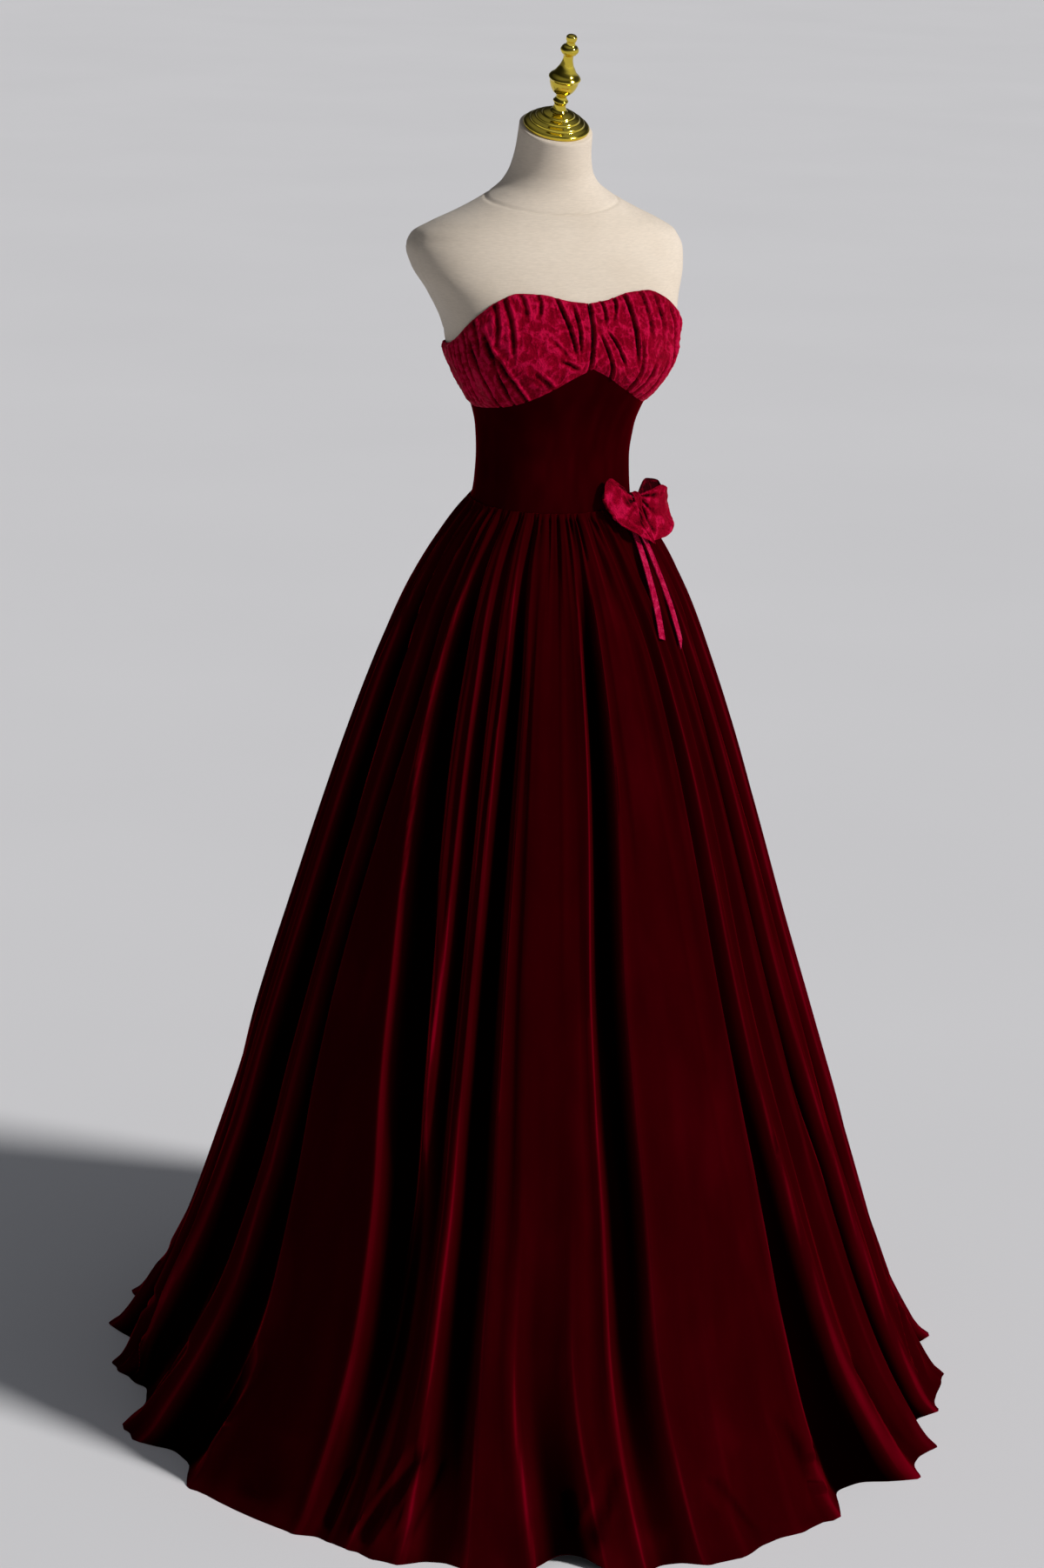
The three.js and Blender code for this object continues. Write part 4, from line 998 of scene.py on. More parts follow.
# Painted light for the skirt's velvet: the base colour goes dark in the valleys, painted shade, and bright
# on ridges and rolled edges, painted highlight.
def skirt_painted_shading(depth, rim):
    painted_ridge_highlight = -np.minimum(depth, 0) / RIDGE_FOR_FULL_PAINTED_HIGHLIGHT
    open_cloth_with_painted_valley_shade = OPEN_NAP * (1 - fade(depth, *PAINTED_VALLEY_SHADE_BETWEEN))
    return np.clip(open_cloth_with_painted_valley_shade + painted_ridge_highlight + RIM_PAINTED_HIGHLIGHT * rim, 0, 1)


def skirt_panel(name, first, last):
    levels = smooth_through(ROW_SHARES, ROW_HEIGHTS, np.linspace(0, 1, SKIRT_ROWS + 1))
    bearings = skirt_bearings(first, last, levels)
    z = np.tile(levels, (len(bearings), 1))
    z[:, -1] = waist_seam_z(bearings[:, -1]) + SKIRT_LAP
    dipping = slice(-1 - DIPPING_ROWS, -1)
    dip = WAIST_SEAM_Z - waist_seam_z(bearings[:, dipping])
    z[:, dipping] -= dip * np.linspace(0.1, 1, DIPPING_ROWS)
    for end, index, inwards in ((0, first, 1), (-1, last, -1)):
        at_zip = (index == CENTRE_BACK_FOLD) & (levels > ZIP_END_Z)
        radius = np.linalg.norm(skirt_point(bearings[end], z[end])[0][..., :2], axis=-1)
        bearings[end] += inwards * np.degrees(np.where(at_zip, HALF_ZIP, HALF_SEAM) / radius)
    points, depth, rim = skirt_point(bearings, z)
    # The mark paints shade into the valleys and highlights onto ridges and rolled edges.
    piece = lay_cloth(name + "_velvet", points, SKIRT_CLOTH, marks={"nap_and_painted_shading": skirt_painted_shading(depth, rim)})
    thick = read_points(piece)
    thick[:, 2] = np.maximum(thick[:, 2], 0)
    move_points(piece, thick)
    return dress(piece, DARK_VELVET, "dark_velvet", name)


skirt_panel("skirt_front", 0, LEFT_SIDE_FOLD)
skirt_panel("skirt_back_left", LEFT_SIDE_FOLD, CENTRE_BACK_FOLD)
skirt_panel("skirt_back_right", CENTRE_BACK_FOLD, FOLD_COUNT)

# %% [markdown]
# ## The plain midriff
#
# Between the bust and the waist the velvet is cut to the body and lies smooth. Only its edges give it
# life: it dips a little into the seams above and below.

# %% Midriff
MIDRIFF_TENSION = 0.35  # how far the stretched cloth swells between its seams
MIDRIFF_NAP, MIDRIFF_NAP_SPREAD = 0.62, 0.10


def panel_bearings(start, end, columns, radius):
    """Bearings of a panel's columns, set in by half a seam's gap, or by half the zip's."""
    insets = [math.degrees((HALF_ZIP if edge == 180 else HALF_SEAM) / radius) for edge in (start, end)]
    return np.linspace(start + insets[0], end - insets[1], columns + 1)


def bodice_points(bearings, rows, low_edge, high_edge, stand, low_lap=SEAM_LAP):
    """Outer points of a bodice panel, where stand gives how far it stands off the smooth cloth."""
    up = np.linspace(0, 1, rows + 1)[None, :] + 0 * bearings[:, None]
    bearing = bearings[:, None] + 0 * up
    low = low_edge(bearing) - low_lap
    high = high_edge(bearing) + SEAM_LAP
    z = low + (high - low) * up
    off = BODICE_EASE + BODICE_CLOTH + stand(bearing, up)
    return body_point(bearing, z) + outward(body_point, bearing, z) * off[..., None], bearing, up


def midriff_stand(bearing, up):
    tension = MIDRIFF_TENSION * ripple(bearing * 2 + 500, up * 60, 22.0, 8)
    return tension * fade(up, 0, 0.1) * fade(up, 1, 0.9)


def midriff_panel(name, bearings, rows):
    edges = (waist_seam_z, underbust_z)
    points, bearing, up = bodice_points(bearings, rows, *edges, midriff_stand, MIDRIFF_LAP)
    nap_and_painted_shading = MIDRIFF_NAP + MIDRIFF_NAP_SPREAD * ripple(bearing * 3 + 700, up * 90, 16.0, 9)
    piece = lay_cloth(name + "_velvet", points, BODICE_CLOTH, marks={"nap_and_painted_shading": nap_and_painted_shading})
    return dress(piece, DARK_VELVET, "dark_velvet", name)


midriff_panel("midriff_front", panel_bearings(-90, 90, 96, 100), 60)
midriff_panel("midriff_back_left", panel_bearings(90, 180, 48, 70), 40)
midriff_panel("midriff_back_right", panel_bearings(180, 270, 48, 70), 40)

# %% [markdown]
# ## The ruched bust
#
# The bust is crushed velvet, cut too wide and drawn up along its seams, so that it puffs and
# falls in slanting ruches. The deep creases below are placed one by one at the front: bearing and
# share of the panel's height at both ends. Round the back a loop sets them more evenly.

# %% Ruche table
RUCHES = as_table("top_bearing top end_bearing end depth half_width", [
    (-84, 1.0, -86, 0.1, 1.7, 1.6),
    (-78.5, 1.0, -80, 0.1, 2.2, 1.5),
    (-73.8, 0.90, -74, 0.10, 2.4, 1.3),
    (-69, 1.0, -68, 0.35, 1.7, 1.1),
    (-65.2, 0.85, -58.5, 0.0, 2.6, 1.3),
    (-61, 1.0, -60, 0.55, 1.5, 1.1),
    (-57, 0.85, -48.5, 0.0, 2.4, 1.2),
    (-53.5, 0.60, -40, 0.0, 2.3, 1.2),
    (-50, 1.0, -50, 0.62, 1.6, 1.1),
    (-45.2, 1.0, -42.5, 0.48, 2.2, 1.1),
    (-38, 1.0, -36, 0.78, 1.5, 1.2),
    (-33, 0.28, -24, 0.02, 1.7, 1.3),
    (-29, 1.0, -29.8, 0.78, 1.6, 1.1),
    (-19.5, 1.0, -10.5, 0.28, 2.5, 1.1),
    (-19.5, 0.30, -10, 0.10, 1.8, 1.2),
    (-24, 0.55, -16, 0.30, 1.1, 1.2),
    (-10.4, 0.95, -8.4, 0.30, 2.1, 1.0),
    (-0.6, 1.0, -2.5, 0.0, 2.6, 1.2),
    (4.5, 0.55, 12.5, 0.0, 2.5, 1.1),
    (7.4, 1.0, 8.2, 0.68, 1.8, 1.0),
    (9.2, 0.60, 19, 0.22, 2.4, 1.0),
    (16, 1.0, 13.5, 0.74, 1.8, 1.0),
    (22.4, 1.0, 27, 0.25, 2.8, 1.1),
    (28.8, 0.60, 28, 0.0, 1.9, 1.1),
    (33, 1.0, 35, 0.55, 1.5, 1.2),
    (41, 0.98, 42.5, 0.60, 1.8, 1.2),
    (38, 0.35, 34, 0.0, 2.0, 1.2),
    (50, 0.95, 53.5, 0.30, 2.3, 1.3),
    (47, 0.40, 44, 0.0, 1.9, 1.2),
    (59, 1.0, 62, 0.10, 2.3, 1.3),
    (67, 0.9, 70, 0.0, 2.2, 1.3),
    (75, 1.0, 77, 0.10, 2.2, 1.4),
    (83, 1.0, 84, 0.10, 1.8, 1.5),
    *[(b, 1.0 - 0.2 * (k % 2), b + 3 * math.sin(k), 0.12 * (k % 3), 1.5 + 0.4 * (k % 2), 1.5)
      for k, b in enumerate(np.arange(94, 268, 8.3))],
])

# %% [markdown]
# ## Puffs, ruches and crumples
#
# The cloth puffs out between the seams that hold it, and every ruche pulls it back in, down to just
# above the form. Between the ruches a seeded crumple, warped by a slower one, gives the fine veins
# of crushed pile. The same veins are stored for the material.

# %% Bust panels
PUFF = 3.8
RUCHE_DEPTH = 1.7  # for a crease of depth 1
RUCHE_SWAY = 1.1  # degrees by which a crease bows sideways on its way
NEAREST_FORM = -0.9
# Painted shade: how much darker the material's mark goes inside a ruche's crease.
CREASE_PAINTED_SHADE = 0.55


def ruche(x):
    """A sharp crease with the cloth rolling over it on both sides, more on one."""
    near_roll = 0.6 * np.exp(-((x - 1.7) ** 2) / 0.6)
    far_roll = 0.25 * np.exp(-((x + 1.8) ** 2) / 0.9)
    return np.exp(-1.3 * x * x) - near_roll - far_roll


def bust_crease(bearing, up):
    crease = np.zeros_like(up)
    for row in rows_of(RUCHES):
        along = (row["top"] - up) / (row["top"] - row["end"])
        sway = RUCHE_SWAY * np.sin(np.pi * np.clip(along, 0, 1))
        slant = row["end_bearing"] - row["top_bearing"]
        middle = row["top_bearing"] + slant * np.clip(along, -0.3, 1.3) + sway
        from_edge = 0.0 if row["top"] >= 1 else 0.18
        to_edge = 0.0 if row["end"] <= 0 else 0.25
        starts = fade(along, -0.02 - from_edge / 2, 0.05 + from_edge)
        stops = fade(along, 1.02 + to_edge / 2, 0.95 - to_edge)
        across = turn_between(bearing, middle) / row["half_width"]
        crease += RUCHE_DEPTH * row["depth"] * starts * stops * ruche(across)
    return crease


def crumple(bearing, up):
    """The crushed cloth's fine relief, and the mark that tells its material where it is pressed."""
    u, v = bearing * 2.3 + 900, up * 95 + 60
    warp = ripple(u, v, 17, 21) * 5
    large = ripple(u + warp, v - warp, 9.0, 22)
    small = ripple(u - warp, v + warp, 4.3, 23)
    veins = (1 - np.abs(large)) ** 4 + 0.6 * (1 - np.abs(small)) ** 4
    inside = fade(up, 0.0, 0.05) * fade(up, 1.0, 0.97)
    return (veins + 0.3 * large) * inside, np.clip(veins, 0, 1)


def bust_stand(bearing, up):
    puff = PUFF * fade(up, -0.02, 0.16) * (1 - 0.35 * up) * (0.35 + 0.65 * fade(up, 1.0, 0.94))
    stand = np.maximum(puff - bust_crease(bearing, up) + crumple(bearing, up)[0], NEAREST_FORM)
    return stand * drawn_flat(bearing, BUST_ZIP_EASING)


def bust_panel(name, bearings, rows):
    points, bearing, up = bodice_points(bearings, rows, underbust_z, neckline_z, bust_stand)
    # Painted shade: the mark is darkened inside every ruche's crease, on top of the crumpled veins.
    crush_and_painted_shade = crumple(bearing, up)[1] - CREASE_PAINTED_SHADE * np.clip(bust_crease(bearing, up), -1, 3)
    piece = lay_cloth(name + "_velvet", points, BODICE_CLOTH, marks={"crush_and_painted_shade": crush_and_painted_shade})
    return dress(piece, CRUSHED_VELVET, "crushed_velvet", name)


bust_panel("bust_front_left", panel_bearings(0, 90, 190, 120), 100)
bust_panel("bust_front_right", panel_bearings(-90, 0, 190, 120), 100)
bust_panel("bust_back_left", panel_bearings(90, 180, 120, 72), 60)
bust_panel("bust_back_right", panel_bearings(180, 270, 120, 72), 60)

# %% [markdown]
# ## The bow
#
# The bow is a band of the crushed velvet folded into two drooping loops and pinched by a knot. Each
# loop is a grid swept along the band: a table gives the band's upper and lower edge from the front
# of the knot, out round the tip and back behind it.

# %% Bow tables
LOOP_COLUMNS = "up_out up_up up_off low_out low_up low_off"
BOW_LOOP_LEFT = as_table(LOOP_COLUMNS, [
    (2, 4.5, 9.5, 2, -5.5, 9.5),
    (8, 6.5, 11.2, 3.5, -9.5, 10.8),
    (22, 9, 19, 3, -32, 11),
    (37, 13, 23, 10, -54, 10),
    (48, 10, 19, 30, -52, 12),
    (54, 8, 10, 52, -36, 9),
    (52, 24, 3, 43, -15, 4),
    (35, 29, 1, 27, -10, 3),
    (8, 6, 4.5, 8, -6, 4.5),
    (2, 4.5, 4.5, 2, -4.5, 4.5),
])
BOW_LOOP_RIGHT = as_table(LOOP_COLUMNS, [
    (2, 4.5, 9.5, 2, -5.5, 9.5),
    (8, 5.5, 10.3, 2.5, -9.5, 11.3),
    (22, 20, 17, -2, -33, 17),
    (37, 31, 17, -7, -60, 16),
    (45, 25, 14, 11, -49, 16),
    (49, 8, 9, 38, -23, 10),
    (43, 17, 3, 38, -8, 4),
    (28, 18, 1, 22, -9, 2),
    (8, 6, 4.5, 8, -6, 4.5),
    (2, 4.5, 4.5, 2, -4.5, 4.5),
])
BOW_PLACE = Vector((81.7, -73.6, 1218.5))
BOW_LEAN = 28
BOW_FACING = 18
BOW_CLOTH = 1.2
KNOT = {"half_width": 5.6, "half_height": 11.6, "half_depth": 8.3, "off": 7}


def bow_frame():
    """From the bow's own axes, right, up the dress and away from the cloth, to the dress's."""
    facing = math.radians(BOW_FACING)
    right = Vector((math.cos(facing), math.sin(facing), 0))
    away = Vector((math.sin(facing), -math.cos(facing), 0))
    turn = Matrix((right, (0, 0, 1), away)).transposed().to_4x4()
    return Matrix.Translation(BOW_PLACE) @ turn @ Matrix.Rotation(math.radians(-BOW_LEAN), 4, "X")


def placed(points, matrix):
    m = np.array(matrix)
    return points @ m[:3, :3].T + m[:3, 3]


# %% [markdown]
# ## The bow's two loops
#
# The cloth of a loop is pleated where the knot pinches it and crushed all over. Shade is painted
# into its pleats near the knot and, as a dark patch, onto the loop's back half, in its hollow. Its
# middle surface is placed first; Solidify thickens it both ways.

# %% Bow loops
LOOP_POINTS = (97, 37)  # along the band and across it
LOOP_BELLY = 3.5  # how far the band swells between its two edges


def loop_edge(table, edge, side, along):
    positions = np.linspace(0, 1, len(table["up_out"]))
    columns = [smooth_through(positions, table[f"{edge}_{way}"], along) for way in ("out", "up", "off")]
    return np.stack(columns, -1) * (side, 1, 1)


def loop_pleats(along, across, side):
    """Pleats that leave the knot along the band, and those that come back to it."""
    leaving = 1.9 * np.sin(2 * np.pi * (3.1 * across + 0.6 * side * along))
    returning = 1.3 * np.sin(2 * np.pi * 2.2 * across + 1.0)
    leaving *= np.exp(-(((along - 0.14) / 0.2) ** 2))
    return leaving + returning * np.exp(-(((along - 0.9) / 0.14) ** 2))


def loop_points(table, side):
    """Middle points of a loop's band [along, across]; side is 1 towards the wearer's left."""
    along = np.linspace(0, 1, LOOP_POINTS[0])[:, None]
    across = np.linspace(0, 1, LOOP_POINTS[1])[None, :]
    up, low = (loop_edge(table, edge, side, along) for edge in ("up", "low"))
    points = low + (up - low) * across[..., None]
    swell = np.sin(np.pi * across) * np.cos(2 * np.pi * along) * np.sin(np.pi * along)
    points[..., 2] += LOOP_BELLY * swell
    spread = np.sin(np.pi * along) ** 0.6
    pleats = loop_pleats(along, across, side)
    u, v = along * 150 + 300, across * 45 + 100
    warp = ripple(u, v, 15, 31) * 4
    veins = (1 - np.abs(ripple(u + warp, v - warp, 8.5, 32 + side))) ** 3
    normal = np.cross(np.gradient(points, axis=0), np.gradient(points, axis=1))
    normal *= side / np.maximum(np.linalg.norm(normal, axis=-1, keepdims=True), 1e-9)
    relief = pleats * np.sin(np.pi * across) ** 0.5 + veins + 0.9 * ripple(u, v, 6, 35)
    points = points + normal * (relief * spread)[..., None]
    # Painted shade: the mark goes dark over the loop's back half, in its hollow, and in the pleats' creases
    # near the knot.
    painted_hollow_shade = fade(along, 0.50, 0.62) * fade(across, 0.2, 0.5)
    crush_and_painted_shade = 1.2 * veins - 1.5 * np.clip(-pleats, 0, 2) * fade(along, 0.5, 0.3) - 2.2 * painted_hollow_shade
    return (points if side > 0 else points[::-1]), crush_and_painted_shade if side > 0 else crush_and_painted_shade[::-1]


def bow_loop(name, table, side):
    points, crush_and_painted_shade = loop_points(table, side)
    points = placed(points, bow_frame())
    piece = lay_cloth(name + "_velvet", points, BOW_CLOTH, offset=0.0, marks={"crush_and_painted_shade": crush_and_painted_shade})
    return dress(piece, CRUSHED_VELVET, "crushed_velvet", name)


bow_loop("bow_loop_left", BOW_LOOP_LEFT, 1)
bow_loop("bow_loop_right", BOW_LOOP_RIGHT, -1)

# %% [markdown]
# ## The knot
#
# The knot is a short band drawn tight round the loops, so it is a tube with fine pleats pulled
# towards its middle. The grid's first and last rows meet, and Weld joins them.

# %% Knot
KNOT_POINTS = (29, 73)  # across the band and round it
KNOT_CRUSH = -0.1


def knot_points():
    across = np.linspace(-1, 1, KNOT_POINTS[0])[:, None]
    turn = np.linspace(0, 2 * np.pi, KNOT_POINTS[1])[None, :]
    pleats = 1 + 0.05 * np.cos(9 * across + 1.2 * np.sin(turn)) + 0.03 * np.cos(5 * turn + 3 * across)
    waist = 0.90 + 0.10 * across**2
    height = KNOT["half_height"] * waist * pleats
    depth = KNOT["half_depth"] * waist * pleats
    x = KNOT["half_width"] * across + 0 * turn
    return np.stack([x, -height * np.sin(turn), KNOT["off"] + depth * np.cos(turn)], -1)


pressed = {"crush_and_painted_shade": np.full(KNOT_POINTS, KNOT_CRUSH)}
knot = lay_cloth("bow_knot_velvet", placed(knot_points(), bow_frame()), BOW_CLOTH, marks=pressed)
add_modifier(knot, "WELD", merge_threshold=0.05 * MM)
dress(knot, CRUSHED_VELVET, "crushed_velvet", "bow_knot")

# %% [markdown]
# ## The ribbons
#
# Two narrow ribbons leave the knot at the back and hang over the crests of the folds. They are
# narrower where the knot holds them, cup a little along their middle and turn at their cut ends.

# %% Ribbons
RIBBON = {"half_width": 5, "off": 1.6, "top_reach": 114}
RIBBONS = as_table("top_bearing top_z end_bearing end_z slant", [
    (45.6, 1211, 30, 1062, -2),
    (49.8, 1210.5, 40.5, 1050, 5),
])


def crest_point(bearing, z):
    """A point on the skirt's crests, which the ribbons hang over."""
    r = np.maximum(crest_radius(bearing, z), RIBBON["top_reach"])
    turn = np.radians(bearing)
    y = read(SKIRT, "z", "centre_y", z) - r * np.cos(turn)
    return np.stack([r * np.sin(turn), y, z + 0 * r], -1)


def hang_ribbon(name, row):
    side = np.linspace(-1, 1, 9)[:, None]
    share = 1 - np.linspace(0, 1, 81)[None, :]
    z = row["top_z"] + (row["end_z"] - row["top_z"]) * share + row["slant"] * side * share**6
    bearing = row["top_bearing"] + (row["end_bearing"] - row["top_bearing"]) * share**0.7
    middle = crest_point(bearing, z)
    pinched = 0.6 + 0.4 * np.minimum(1, 3 * share)
    radius = np.hypot(middle[..., 0], middle[..., 1])
    bearing = bearing + side * np.degrees(RIBBON["half_width"] * pinched / radius)
    curl = 0.5 * side**2 * (1 - share) + 0.5 * (1 + np.sin(9 * share + side)) * share * 0.6
    off = RIBBON["off"] + BOW_CLOTH + curl
    points = crest_point(bearing, z) + outward(crest_point, bearing, z) * off[..., None]
    piece = lay_cloth(name + "_velvet", points, BOW_CLOTH, marks={"crush_and_painted_shade": 0.3 + 0 * off})
    return dress(piece, RIBBON_VELVET, "satin_ribbon", name)


for name, row in zip(("ribbon_tail_inner", "ribbon_tail_outer"), rows_of(RIBBONS)):
    hang_ribbon(name, row)

# %% [markdown]
# ## The display form
#
# The form is a torso turned to the body's rings and covered in cream cotton. A grid is wrapped
# right round it and closed at its seam and at both ends. The cover's own seams run round the base of
# the neck and round the flat plates that close the arms.

# %% Form
FORM_COLUMNS = 144
FORM_BANDS = [(980, 1400, 40), (1400, 1560, 50), (1560, 1640, 70), (1640, NECK_TOP_Z - 1.5, 16)]
SIDE_CROWDING = 14  # degrees by which the columns move towards the arm plates
TOP_RIM_SHARE = 0.965  # of the neck's top, where its rounded edge ends
FORM_CRISP_EDGE = 50
NECK_SEAM_FRONT_Z = 1577
NECK_SEAM_BACK_Z = 1612
NECK_SEAM_DEPTH = 1.5
PLATE = {"top_z": 1548, "low_z": 1424, "half_depth": 31, "centre_y": 40, "groove": 1.3}


def form_point(bearing, z):
    point = body_point(bearing, z)
    share = np.clip((z - NECK_TILT_FROM_Z) / (NECK_TOP_Z - NECK_TILT_FROM_Z), 0, 1)
    from_middle = point[..., 1] - read(BODY, "z", "centre_y", z)
    point[..., 2] += from_middle * math.tan(math.radians(NECK_TILT)) * share
    return point


def cover_seams(bearing, z, point):
    """How far the cover's stitched seams sink below its surface."""
    front = 0.5 + 0.5 * np.cos(np.radians(bearing))
    neck_z = NECK_SEAM_BACK_Z + (NECK_SEAM_FRONT_Z - NECK_SEAM_BACK_Z) * front
    neck = NECK_SEAM_DEPTH * np.exp(-(((z - neck_z) / 1.2) ** 2))
    up = (z - (PLATE["top_z"] + PLATE["low_z"]) / 2) / ((PLATE["top_z"] - PLATE["low_z"]) / 2)
    ring = np.hypot(up, (point[..., 1] - PLATE["centre_y"]) / PLATE["half_depth"])
    plate = PLATE["groove"] * np.exp(-(((ring - 1) * PLATE["half_depth"] / 2.2) ** 2))
    return neck + plate * (np.abs(np.sin(np.radians(bearing))) > 0.5)


def form_points():
    z = np.unique(np.concatenate([np.linspace(*band) for band in FORM_BANDS]))[None, :]
    even = np.linspace(0, 360, FORM_COLUMNS + 1)[:, None]
    bearing = even + SIDE_CROWDING * np.sin(np.radians(2 * even)) + 0 * z
    z = z + 0 * bearing
    points = form_point(bearing, z)
    points -= outward(form_point, bearing, z) * cover_seams(bearing, z, points)[..., None]
    top = form_point(bearing[:, :1], np.full((FORM_COLUMNS + 1, 1), float(NECK_TOP_Z)))
    top_middle = top[:-1].mean(axis=0)
    bottom_middle = points[:-1, :1].mean(axis=0)
    rim = top_middle + (top - top_middle) * TOP_RIM_SHARE
    centre = top_middle + 0 * top
    floor = bottom_middle + 0 * points[:, :1]
    return np.concatenate([floor, points, rim, centre], axis=1)


torso = lay_cloth("form_torso_cover", form_points(), 0)
add_modifier(torso, "WELD", merge_threshold=0.02 * MM)
bpy.ops.object.shade_smooth_by_angle(angle=math.radians(FORM_CRISP_EDGE))
dress(torso, COVER, "form_linen", "form_torso")

# %% [markdown]
# ## The cap and the finial
#
# Both are turned on a lathe. By hand: add a circle, extrude it, move the new ring up and scale it to
# the next radius, and go on to the tip. The neck leans forward a little, so the finished turning is
# tilted with it. They stand a few tenths of a millimetre clear of what they sit on.

# %% Turned pieces
FINIAL = as_table("along radius", [
    (22, 11), (24.9, 8.5), (29.8, 7.4), (32.7, 8), (35.1, 9.6), (37.5, 8), (40.4, 6.6), (43.3, 7.6),
    (48.2, 12.6), (54.1, 16), (59.9, 17.8), (63.8, 18.4), (66.3, 20), (68.6, 18.6), (72.5, 14.6),
    (77.4, 11.4), (84.2, 8), (92, 6.2), (95.8, 6.4), (98.7, 9.4), (103.1, 11.4), (107.5, 9.4),
    (110.4, 6), (113.3, 5.4), (116.2, 6.6), (119.7, 6.8), (122.1, 5), (123, 2),
])
CAP = as_table("along radius", [
    (0, 41.2), (3.5, 41.8), (6, 39.4), (7.5, 34.4), (10.5, 33.8), (12, 28), (15, 27), (16.5, 21),
    (19, 19.8), (21.7, 12.6),
])
TURNED_SIDES = 72
FINIAL_STEPS = 120
TURNED_CRISP_EDGE = 32
CAP_BEVEL = {"width": 0.8 * MM, "segments": 3, "limit_method": "ANGLE", "angle_limit": math.radians(25)}


def crown_matrix(lift):
    place = Vector((0, float(read(BODY, "z", "centre_y", NECK_TOP_Z)), NECK_TOP_Z))
    tilt = Matrix.Rotation(math.radians(NECK_TILT), 4, "X")
    return Matrix.Scale(MM, 4) @ Matrix.Translation(place) @ tilt @ Matrix.Translation((0, 0, lift))


def turn_piece(name, along, radius, lift):
    bpy.ops.object.select_all(action="DESELECT")
    bpy.ops.mesh.primitive_circle_add(
        vertices=TURNED_SIDES, radius=radius[0], fill_type="NGON", location=(0, 0, along[0])
    )
    piece = bpy.context.object
    piece.name = piece.data.name = name
    bpy.ops.object.transform_apply(location=True)
    bpy.ops.object.mode_set(mode="EDIT")
    bpy.ops.mesh.select_all(action="SELECT")
    for step in range(1, len(along)):
        rise = along[step] - along[step - 1]
        scale = radius[step] / radius[step - 1]
        bpy.ops.mesh.extrude_region_move(TRANSFORM_OT_translate={"value": (0, 0, rise)})
        bpy.ops.transform.resize(value=(scale, scale, 1), center_override=(0, 0, along[step]))
    bpy.ops.mesh.select_all(action="SELECT")
    bpy.ops.mesh.normals_make_consistent(inside=False)
    bpy.ops.object.mode_set(mode="OBJECT")
    piece.data.transform(crown_matrix(lift))
    bpy.ops.object.shade_smooth_by_angle(angle=math.radians(TURNED_CRISP_EDGE))
    print(f"{name}: {len(piece.data.polygons)} faces")
    return piece


finial_along = np.linspace(FINIAL["along"][0], FINIAL["along"][-1], FINIAL_STEPS)
finial = turn_piece("finial_turned", finial_along, read(FINIAL, "along", "radius", finial_along), 0.6)
dress(finial, GOLD, "gold_metal", "form_finial")
cap = turn_piece("cap_turned", CAP["along"], CAP["radius"], 0.3)
add_modifier(cap, "BEVEL", **CAP_BEVEL)
bpy.ops.object.shade_smooth_by_angle(angle=math.radians(TURNED_CRISP_EDGE))
dress(cap, GOLD, "gold_metal", "form_cap")

# %% [markdown]
# ## The zip
#
# A fine coil zip closes the centre back. One turn of its nylon coil is a small ring. Array repeats
# it upwards, and every point is then moved back to where the zip's face lies at its height.

# %% Zip teeth
TOOTH = {"major_radius": 0.75, "minor_radius": 0.3, "major_segments": 10, "minor_segments": 4}
TOOTH_PITCH = 1.25
TEETH_FROM_Z = ZIP_END_Z + 3
TEETH_TO_Z = ZIP_TOP_Z - 13  # just under the slider
FACE_STEPS = 60
FACE_BLEND = 12  # millimetres of height over which the skirt's face passes into the bodice's
ZIP_LIFT = 0.25


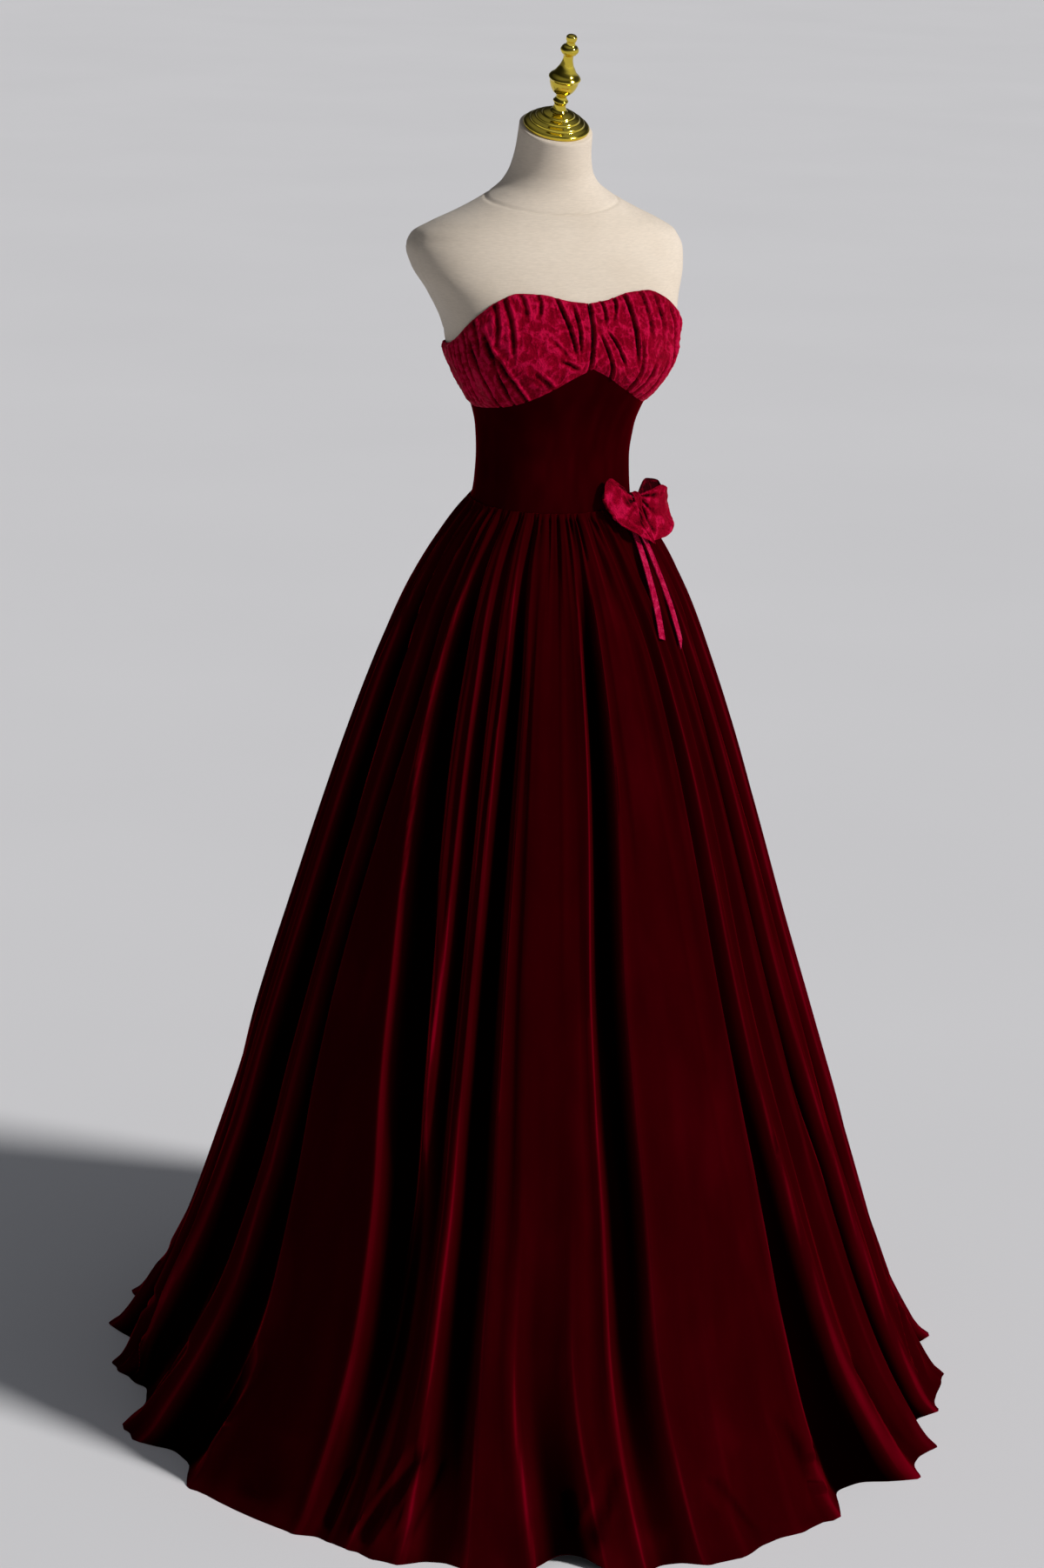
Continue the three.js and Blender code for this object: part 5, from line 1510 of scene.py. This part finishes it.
def zip_face(z):
    """How far back the zip's face lies at a height."""
    seam = waist_seam_z(180)
    back = 180 + 0 * z
    high = np.maximum(z, seam)
    off = BODICE_EASE + BODICE_CLOTH
    bodice = body_point(back, high) + outward(body_point, back, high) * off
    skirt = skirt_point(back, np.minimum(z, seam), creased=False)[0]
    blend = np.clip((z - seam) / FACE_BLEND + 0.5, 0, 1)
    return skirt[..., 1] + (bodice[..., 1] - skirt[..., 1]) * blend


def zip_teeth():
    heights = np.linspace(TEETH_FROM_Z, TEETH_TO_Z, FACE_STEPS)
    backs = zip_face(heights)
    bpy.ops.object.select_all(action="DESELECT")
    bpy.ops.mesh.primitive_torus_add(**TOOTH)
    tooth = bpy.context.object
    tooth.name = tooth.data.name = "zip_teeth"
    move_points(tooth, read_points(tooth) * MM)
    count = int((TEETH_TO_Z - TEETH_FROM_Z) / TOOTH_PITCH)
    add_modifier(
        tooth, "ARRAY", count=count, use_relative_offset=False, use_constant_offset=True,
        constant_offset_displace=(0, 0, TOOTH_PITCH * MM),
    )
    points = read_points(tooth)
    z = TEETH_FROM_Z + points[:, 2] / MM
    points[:, 1] += (np.interp(z, heights, backs) + ZIP_LIFT - TOOTH["major_radius"]) * MM
    points[:, 2] = z * MM
    move_points(tooth, points)
    bpy.ops.object.shade_smooth()
    print(f"zip_teeth: {count} turns, {len(tooth.data.polygons)} faces")
    return tooth


dress(zip_teeth(), ZIP_NYLON, "zip_nylon")

# %% [markdown]
# ## The parts that keep their own shape
#
# The stand's foot and pole and the zip's coil, slider and pull are already right. They only need a
# finish, and the foot, the slider and the pull a softened edge from a live Bevel.

# %% Kept parts
KEPT = {
    "stand_foot": (STEEL, 1.5),
    "stand_pole": (STEEL, 0.0),
    "zip_coil": (ZIP_NYLON, 0.0),
    "zip_slider": (ZIP_METAL, 0.25),
    "zip_pull": (ZIP_METAL, 0.2),
}  # the finish, and the width of the softened edge
SOFTENED_FROM = math.radians(40)
for name, (finish, edge) in KEPT.items():
    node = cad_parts[name]
    node.data.materials.clear()
    node.data.materials.append(finish)
    if edge:
        bevel = node.modifiers.new("soft_edge", "BEVEL")
        bevel.width = edge * MM
        bevel.segments = 2
        bevel.limit_method = "ANGLE"
        bevel.angle_limit = SOFTENED_FROM
print("kept:", ", ".join(KEPT))
